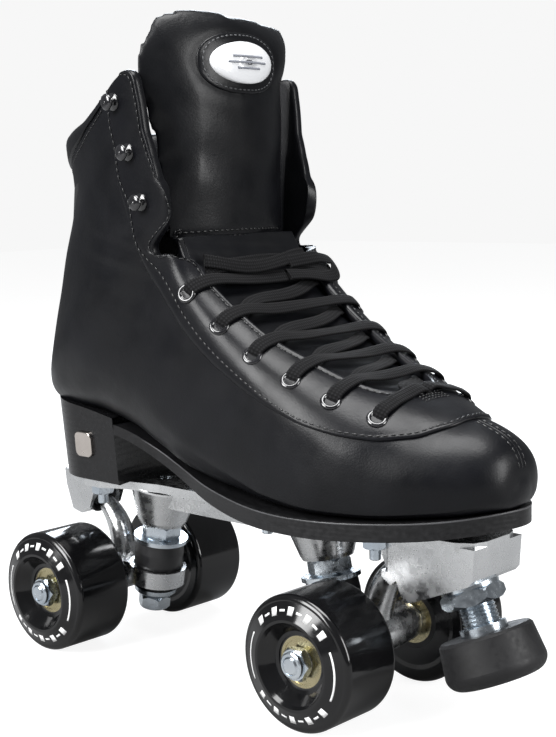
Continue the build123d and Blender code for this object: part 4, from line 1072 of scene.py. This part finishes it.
points, faces = disc(
    PATCH[0], PATCH[1],
    ((1.0, -1.2), (1.0, 0.2), (0.985, 0.55), (0.95, 0.75), (0.9, 0.8), (0.75, 0.8), (0.4, 0.8), (0.1, 0.8)),
    0.2, 2.35,
)
patch = make("tongue_patch", points, faces, FACING_LEATHER, "tongue_upper")
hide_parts("tongue_badge")
turn = np.linspace(0, 2 * pi, 121)
c, s = np.cos(turn), np.sin(turn)
ring_points, ring_normals = tongue_front(
    BADGE_Y + PATCH[0] * 0.9 * np.sign(c) * np.abs(c) ** 0.85,
    BADGE_Z + PATCH[1] * 0.87 * np.sign(s) * np.abs(s) ** 0.85, 1.0,
)
stitches("patch_stitches", [(ring_points, ring_normals)], "tongue_upper", THREAD_GREY, 1.7, 2.6, 0.3)
DOME = ((1.0, 0.2), (1.0, 1.0), (0.97, 1.5), (0.92, 1.85), (0.8, 2.2), (0.6, 2.5), (0.35, 2.7), (0.12, 2.75))
points, faces = disc(19.6, 9.3, DOME, 0.6)
make("tongue_plaque", points, faces, PLAQUE, "tongue_upper")
bars = []
for offset, half in ((2.6, 9.5), (0.0, 12.0), (-2.6, 7.0)):
    y = np.linspace(-half, half, 24)
    base, normals = tongue_front(BADGE_Y + y, np.full(24, BADGE_Z + offset), 0.6)
    share = np.hypot(y / 19.6, offset / 9.3)
    height = np.interp(share, [a for a, _ in DOME[::-1]], [b for _, b in DOME[::-1]])
    centre_normal = tongue_front([BADGE_Y], [BADGE_Z])[1][0]
    bars.append(bead(base + centre_normal * (height + 0.15)[:, None], np.tile(centre_normal, (24, 1)), 0.5, 0.4, 8))
points, faces, _ = joined(bars)
make("plaque_lines", points, faces, PLAQUE_MARK, "tongue_upper")

# ------------------------------------------------------------------ eyelets and hooks
def turned(centre, normal, profile, sides=36):
    """Ring or stud with this (radius, height) profile about a normal of the boot."""
    a = unit(np.cross(normal, (1, 0, 0)))
    b = np.cross(normal, a)
    turn = np.linspace(0, 2 * pi, sides, endpoint=False)[:, None]
    around = np.cos(turn) * a + np.sin(turn) * b
    points = np.concatenate([centre + around * radius + normal * height for radius, height in profile])
    return points, grid_faces(len(profile), sides, wrap_cols=True), np.zeros((len(points), 2))


def fastener(name, places, profile, look, closed):
    """One turned fastener at each (row, column) place on the facings."""
    parts = []
    for s, k in places:
        points, faces, uvs = turned(at(s, k, FACING_RISE), unit(normal_at(s, k)), profile)
        sides, last = 36, (len(profile) - 1) * 36
        if closed:
            faces += [tuple(range(sides))[::-1], tuple(last + q for q in range(sides))]
        else:
            faces += [(last + q, last + (q + 1) % sides, (q + 1) % sides, q) for q in range(sides)]
        parts.append((points, faces, uvs))
    points, faces, _ = joined(parts)
    return make(name, points, faces, look, "chassis")


spots = {side: [np.array(cell_) for cell_ in cells_of(EYELETS, side)] for side in (-1, 1)}
EYELET_RING = (
    (2.3, -3.2), (2.6, -3.2), (2.6, 0.0), (4.4, 0.0), (4.45, 0.3), (4.2, 0.75), (3.6, 1.05), (3.0, 1.0),
    (2.5, 0.6), (2.3, 0.0),
)
eyelet_piece = fastener("eyelet_rings", spots[-1] + spots[1], EYELET_RING, ENAMEL, False)
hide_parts("eyelets")
HOOK_STUD = (
    (1.0, 0.0), (3.9, 0.0), (4.0, 0.4), (3.5, 0.8), (2.2, 1.1), (1.7, 1.8), (1.8, 2.6), (2.9, 3.0),
    (3.6, 3.5), (3.7, 4.0), (3.2, 4.6), (2.2, 4.9), (1.0, 5.05), (0.2, 5.1),
)
hook_piece = fastener(
    "hook_studs", cells_of(HOOKS, -1) + cells_of(HOOKS, 1), HOOK_STUD, ENAMEL, True
)
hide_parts("hooks")

# ------------------------------------------------------------------ laces
LACE_WIDE, LACE_THICK = 6.5, 1.2
inner_by_side = {side: lines[side][1][FLAP_STEPS:] for side in (-1, 1)}


def edge_at(side, row):
    """Column of the facing's inner edge at a row."""
    line = inner_by_side[side]
    order = np.argsort(line[:, 0])
    return np.interp(row, line[order, 0], line[order, 1])


def lace_run(stops, bend_by=0.0, seed=0.0, width=LACE_WIDE):
    """Lace through (row, column, lift) stops on the boot's surface."""
    stops = np.array(stops, float)
    count = 60
    places = at(stops[:, 0], stops[:, 1], stops[:, 2])
    along = lengths(places)
    want = np.linspace(0, along[-1], count)
    path = spline(along, places, want)
    straight = np.stack([np.interp(want, along, column) for column in places.T], 1)
    away = path - straight
    size = np.linalg.norm(away, axis=1, keepdims=True)
    path = straight + away * np.minimum(1, 2.2 / np.maximum(size, 1e-6))
    cells = np.stack([np.interp(want, along, column) for column in stops[:, :2].T], 1)
    normals = unit(normal_at(cells[:, 0], cells[:, 1]))
    heading = unit(np.gradient(path, axis=0))
    t = np.linspace(0, 1, count)[:, None]
    path = path + np.cross(normals, heading) * bend_by * np.sin(pi * t)
    path = path + normals * 0.2 * np.sin(9 * t + seed) * np.sin(pi * t)
    twist = (0.14 * np.sin(2.5 * pi * t + seed) * np.sin(pi * t))[:, 0]
    return strip(path, normals, width, LACE_THICK, twist)


def toward_ridge(spot, distance):
    step = distance * cols_per_mm(spot[0], spot[1])
    return spot[1] + (step if spot[1] < RIDGE else -step)


runs = []
for row in range(len(EYELETS)):
    near, far = spots[-1][row], spots[1][row]
    near_edge, far_edge = edge_at(-1, near[0]), edge_at(1, far[0])
    middle = (near[0] + far[0]) / 2
    runs.append(lace_run(
        [
            (near[0], toward_ridge(near, -0.9), -0.6),
            (near[0], toward_ridge(near, 1.4), 1.9),
            (near[0], between(near[1], near_edge, 0.72), 2.5),
            (near[0], between(near_edge, RIDGE, 0.14), 1.9),
            (middle, between(near_edge, RIDGE, 0.6), 0.5),
            (middle, RIDGE, 0.0),
            (middle, between(far_edge, RIDGE, 0.6), 0.5),
            (far[0], between(far_edge, RIDGE, 0.14), 1.9),
            (far[0], between(far[1], far_edge, 0.72), 2.5),
            (far[0], toward_ridge(far, 1.4), 1.9),
            (far[0], toward_ridge(far, -0.9), -0.6),
        ],
        0.5 * sin(2.1 * row), 1.7 * row,
    ))
for row in range(len(EYELETS) - 1):
    near, far = spots[-1][row + 1], spots[1][row]
    near_edge, far_edge = edge_at(-1, near[0]), edge_at(1, far[0])
    start_row, end_row = near[0] + 1.0 * rows_per_mm(near[0], near[1]), far[0] - 2.0 * rows_per_mm(far[0], far[1])
    runs.append(lace_run(
        [
            (start_row, between(near[1], near_edge, 0.5), -3.5),
            (start_row, between(near_edge, RIDGE, 0.05), -2.6),
            (between(start_row, end_row, 0.3), between(near_edge, RIDGE, 0.5), -1.5),
            (between(start_row, end_row, 0.5), RIDGE, -1.2),
            (between(start_row, end_row, 0.72), between(far_edge, RIDGE, 0.5), -1.2),
            (end_row, between(far_edge, RIDGE, 0.05), -2.4),
            (end_row, between(far[1], far_edge, 0.5), -3.5),
        ],
        -0.6, 0.9 * row + 0.4,
    ))

top_row = spots[-1][0][0]
top_mm = rows_per_mm(top_row, RIDGE)
near_edge, far_edge = edge_at(-1, top_row + 6 * top_mm), edge_at(1, top_row + 6 * top_mm)
far_eyelet = spots[1][0]
runs.append(lace_run(
    [
        (top_row + 3 * top_mm, between(near_edge, RIDGE, -0.1), -2.6),
        (top_row + 5 * top_mm, between(near_edge, RIDGE, 0.12), -1.2),
        (top_row + 8 * top_mm, between(near_edge, RIDGE, 0.6), 0.3),
        (top_row + 8.5 * top_mm, RIDGE, 0.8),
        (top_row + 7.5 * top_mm, between(far_edge, RIDGE, 0.5), 1.2),
        (top_row + 4 * top_mm, between(far_edge, RIDGE, 0.1), 2.3),
        (top_row + 1 * top_mm, between(far_eyelet[1], far_edge, 0.4), 3.0),
    ],
    0.4, 0.3,
))
runs.append(lace_run(
    [
        (top_row + 11.5 * top_mm, between(near_edge, RIDGE, 0.12), 0.4),
        (top_row + 9.0 * top_mm, between(near_edge, RIDGE, 0.4), 1.8),
        (top_row + 6.0 * top_mm, between(near_edge, RIDGE, 0.75), 2.0),
        (top_row + 7.0 * top_mm, between(far_edge, RIDGE, 0.8), 2.4),
        (top_row + 10.0 * top_mm, between(far_edge, RIDGE, 0.4), 2.2),
        (top_row + 11.0 * top_mm, between(far_edge, RIDGE, 0.1), 1.4),
    ],
    -0.4, 2.3,
))
runs.append(lace_run(
    [
        (top_row + 6.0 * top_mm, between(far_edge, RIDGE, 0.6), 2.6),
        (top_row + 6.5 * top_mm, between(far_edge, RIDGE, 0.2), 4.0),
        (top_row + 3.0 * top_mm, between(far_eyelet[1], far_edge, 0.35), 5.2),
        (top_row - 2.0 * top_mm, between(far_eyelet[1], far_edge, 0.45), 4.6),
        (top_row - 3.0 * top_mm, between(far_edge, RIDGE, 0.3), 2.6),
        (top_row - 1.0 * top_mm, between(far_edge, RIDGE, 0.7), 1.6),
    ],
    0.3, 4.1,
))
points, faces, uvs = joined(runs)
laces = make("laces", points, faces, LACE, "chassis", uvs=uvs)
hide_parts("lace")

# ------------------------------------------------------------------ sole edge cord, coloured light grey as a painted highlight line
BASE_LINE = (
    (158, 95.0), (145, 92.8), (130, 91.0), (111, 89.6), (90, 88.8), (60, 88.8), (30, 90.5),
    (10, 92.8), (-8, 97.0), (-28, 104.2), (-54, 111.2), (-85, 116), (-116, 119),
)
SOLE_EDGE = (
    (-60, -30.5), (-30, -29.5), (-6, -31), (12, -36.5), (31, -42.5), (50, -47.5), (70, -49.8),
    (88, -48.5), (106, -43.5), (125, -35.5), (139, -26.5), (151, -13), (156, 1), (151, 15),
    (139, 28), (124, 36.5), (106, 42.5), (88, 44.5), (68, 43), (45, 39.5), (20, 34.0),
    (-6, 29.5), (-30, 28.5), (-60, 30.5),
)
edge = smooth_curve(np.array(SOLE_EDGE, float), 320)
base_x, base_z = np.array(BASE_LINE[::-1], float).T
height = spline(base_x, base_z, edge[:, 0])
path = np.column_stack([edge, height - 0.5])[6:-6]
path[:, 1] -= 0.25 * np.sign(path[:, 1])
sideways = unit(np.cross(unit(np.gradient(path, axis=0)), (0, 0, 1)))
# thin cord on the sole's top edge whose grey colour is a painted highlight, not a lit edge
edge_highlight_cord = bead(path, sideways, 0.45, 0.7, 8)
make("sole_edge_painted_highlight", edge_highlight_cord[0], edge_highlight_cord[1], SOLE_EDGE_PAINTED_HIGHLIGHT, "chassis")

# ------------------------------------------------------------------ heel
HEEL_FOOT, HEEL_BREAST, HEEL_BACK, HEEL_HALF, HEEL_TAPER = 81.0, -54.0, -113.0, 31.0, 3.0
HEEL_SEAT = 3.0          # how far the heel stands up inside the upper


def heel_outline(inward):
    """Level outline of the heel: hollow breast, straight sides and a round back."""
    half, back_x = HEEL_HALF - inward, HEEL_BACK + inward
    side_y = np.linspace(-1, 1, 25)
    breast = np.column_stack([HEEL_BREAST - 5 * (1 - side_y**2), half * side_y])
    straight = np.linspace(HEEL_BREAST, back_x + half, 16)[1:]
    turn = np.linspace(pi / 2, 3 * pi / 2, 49)[1:]
    round_end = np.column_stack([back_x + half + half * np.cos(turn), half * np.sin(turn)])
    return np.concatenate([
        breast, np.column_stack([straight, np.full(15, half)]), round_end,
        np.column_stack([straight[::-1], np.full(15, -half)])[1:],
    ])


heel_top = spline(base_x, base_z, heel_outline(0)[:, 0]) + HEEL_SEAT
heel_rows = []
for share, extra in ((0, 0.9), (0.004, 0.3), (0.012, 0.0), *[(v, 0) for v in np.linspace(0.04, 1, 14)]):
    level_z = HEEL_FOOT + share * (heel_top - HEEL_FOOT)
    inward = HEEL_TAPER * (1 - share)
    ring_xy = heel_outline(inward + extra)
    heel_rows.append(np.column_stack([ring_xy, level_z]))
heel_rows = np.array(heel_rows)
count = heel_rows.shape[1]
faces = grid_faces(len(heel_rows), count, wrap_cols=True)
faces += [tuple(range(count))[::-1], tuple((len(heel_rows) - 1) * count + q for q in range(count))]
heel = make("heel_stack", heel_rows.reshape(-1, 3), faces, HEEL, "chassis", smooth=False)
drop_loose(heel)
heel.data.polygons.foreach_set("use_smooth", [abs(p.normal.z) < 0.5 for p in heel.data.polygons])
crisp = heel.modifiers.new("crisp", "EDGE_SPLIT")
crisp.split_angle = radians(40)
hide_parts("heel_block")

# ------------------------------------------------------------------ wheel marks
MARK_LOW, MARK_HIGH = 21.3, 24.6
CONE = ((26.4, 15.65), (19.2, 18.6))


def cone_out(radius):
    (r0, o0), (r1, o1) = CONE
    return o0 + (o1 - o0) * (r0 - radius) / (r0 - r1) + 0.1


def arc_mark(middle, side, low, high, start, end, steps):
    """Thin printed bar on the wheel's cone, between two radii and two angles."""
    points, faces = [], []
    for i in range(steps + 1):
        turn = start + (end - start) * i / steps
        for radius in (low, high):
            out = cone_out(radius)
            for extra in (0.0, -0.35):
                points.append(middle + np.array((
                    radius * cos(turn), side * (out + extra), radius * sin(turn))))
    for i in range(steps):
        a, b = 4 * i, 4 * i + 4
        faces += [(a, a + 2, b + 2, b), (a + 1, b + 1, b + 3, a + 3), (a, b, b + 1, a + 1), (a + 2, a + 3, b + 3, b + 2)]
    last = 4 * steps
    faces += [(0, 1, 3, 2), (last, last + 2, last + 3, last + 1)]
    return np.array(points), faces, np.zeros((len(points), 2))


for end, front in (("front", 1), ("rear", -1)):
    for name, side in (("right", -1), ("left", 1)):
        middle = np.array((front * 82.5, side * 39.25, 29.0))
        marks = []
        for base in (radians(90), radians(270)):
            for i in range(9):
                turn = base + radians(11.5) * (i - 4)
                tall = MARK_HIGH if i % 2 == 0 else MARK_HIGH - 1.2
                marks.append(arc_mark(middle, side, MARK_LOW + (0 if i % 2 == 0 else 1.2), tall,
                                      turn - radians(3.6), turn + radians(3.6), 4))
        for base in (radians(0), radians(180)):
            marks.append(arc_mark(middle, side, 22.6, 23.3, base - radians(26), base + radians(26), 20))
        points, faces, _ = joined(marks)
        piece = make(f"wheel_marks_{end}_{name}", points, faces, PRINT, f"wheel_{end}_{name}")
        drop_loose(piece)

# ------------------------------------------------------------------ floor, light, camera
FLOOR_HALF = 4.0
floor_mesh = bpy.data.meshes.new("floor")
steps = np.linspace(-FLOOR_HALF, FLOOR_HALF, 9)
floor_mesh.from_pydata([(x, y, -0.0003) for x in steps for y in steps], [], grid_faces(9, 9))
floor = bpy.data.objects.new("floor", floor_mesh)
scene.collection.objects.link(floor)
FLOOR_LOOK = moulded(
    "floor_paper", (0.24, 0.24, 0.24), (0.25, 0.25, 0.25), (0.85, 0.95), 8.0, 0.00005,
    Specular_IOR_Level=0.05, Emission_Color=(1, 1, 1, 1), Emission_Strength=0.90,
)
floor_mesh.materials.append(FLOOR_LOOK)
seen_by = node(FLOOR_LOOK, "ShaderNodeLightPath")
glow = node(FLOOR_LOOK, "ShaderNodeMapRange", {"Value": seen_by.outputs["Is Camera Ray"], "To Min": 0.05, "To Max": 0.90})
link(FLOOR_LOOK, glow.outputs["Result"], "Emission Strength")

world = bpy.data.worlds.new("studio")
scene.world = world
world.use_nodes = True
tree = world.node_tree
lamp = tree.nodes["Background"]
lamp.inputs["Color"].default_value = (0.96, 0.98, 1.0, 1)
lamp.inputs["Strength"].default_value = 0.16
paper = tree.nodes.new("ShaderNodeBackground")
paper.inputs["Color"].default_value = (0.93, 0.93, 0.93, 1)
seen_by = tree.nodes.new("ShaderNodeLightPath")
pick = tree.nodes.new("ShaderNodeMixShader")
tree.links.new(seen_by.outputs["Is Camera Ray"], pick.inputs[0])
tree.links.new(lamp.outputs[0], pick.inputs[1])
tree.links.new(paper.outputs[0], pick.inputs[2])
tree.links.new(pick.outputs[0], tree.nodes["World Output"].inputs["Surface"])


def softbox(name, location, target, size, power, color=(1, 1, 1)):
    light = bpy.data.lights.new(name, "AREA")
    light.shape = "RECTANGLE"
    light.size, light.size_y = size
    light.energy = power
    light.color = color
    made = bpy.data.objects.new(name, light)
    made.location = location
    aim = Vector(target) - Vector(location)
    made.rotation_euler = aim.to_track_quat("-Z", "Y").to_euler()
    scene.collection.objects.link(made)


softbox("key", (-0.35, -1.3, 0.9), (0, 0, 0.14), (0.8, 1.0), 44)
softbox("top", (0.15, -0.1, 1.5), (0.02, 0, 0.1), (0.9, 0.8), 30)
softbox("front", (1.35, 0.25, 0.55), (0.05, 0, 0.12), (0.5, 0.8), 15)
softbox("rim", (-0.9, 0.9, 0.7), (0, 0, 0.15), (0.5, 0.9), 16, (0.85, 0.92, 1.0))

AZIMUTH, ELEVATION, ROLL = radians(42.763), radians(7.374), radians(-1.19)
back = Vector((sin(AZIMUTH) * cos(ELEVATION), -cos(AZIMUTH) * cos(ELEVATION), sin(ELEVATION)))
level = Vector((cos(AZIMUTH), sin(AZIMUTH), 0))
upright = back.cross(level)
right = level * cos(ROLL) + upright * sin(ROLL)
above = -level * sin(ROLL) + upright * cos(ROLL)
camera = bpy.data.cameras.new("camera")
camera.sensor_width = 36
camera.lens = 67.89
camera_object = bpy.data.objects.new("camera", camera)
scene.collection.objects.link(camera_object)
pose = Matrix((right, above, back)).transposed().to_4x4()
pose.translation = Vector((0.45063, -0.45877, 0.22171))
camera_object.matrix_world = pose
scene.camera = camera_object
scene.view_settings.view_transform = "Standard"
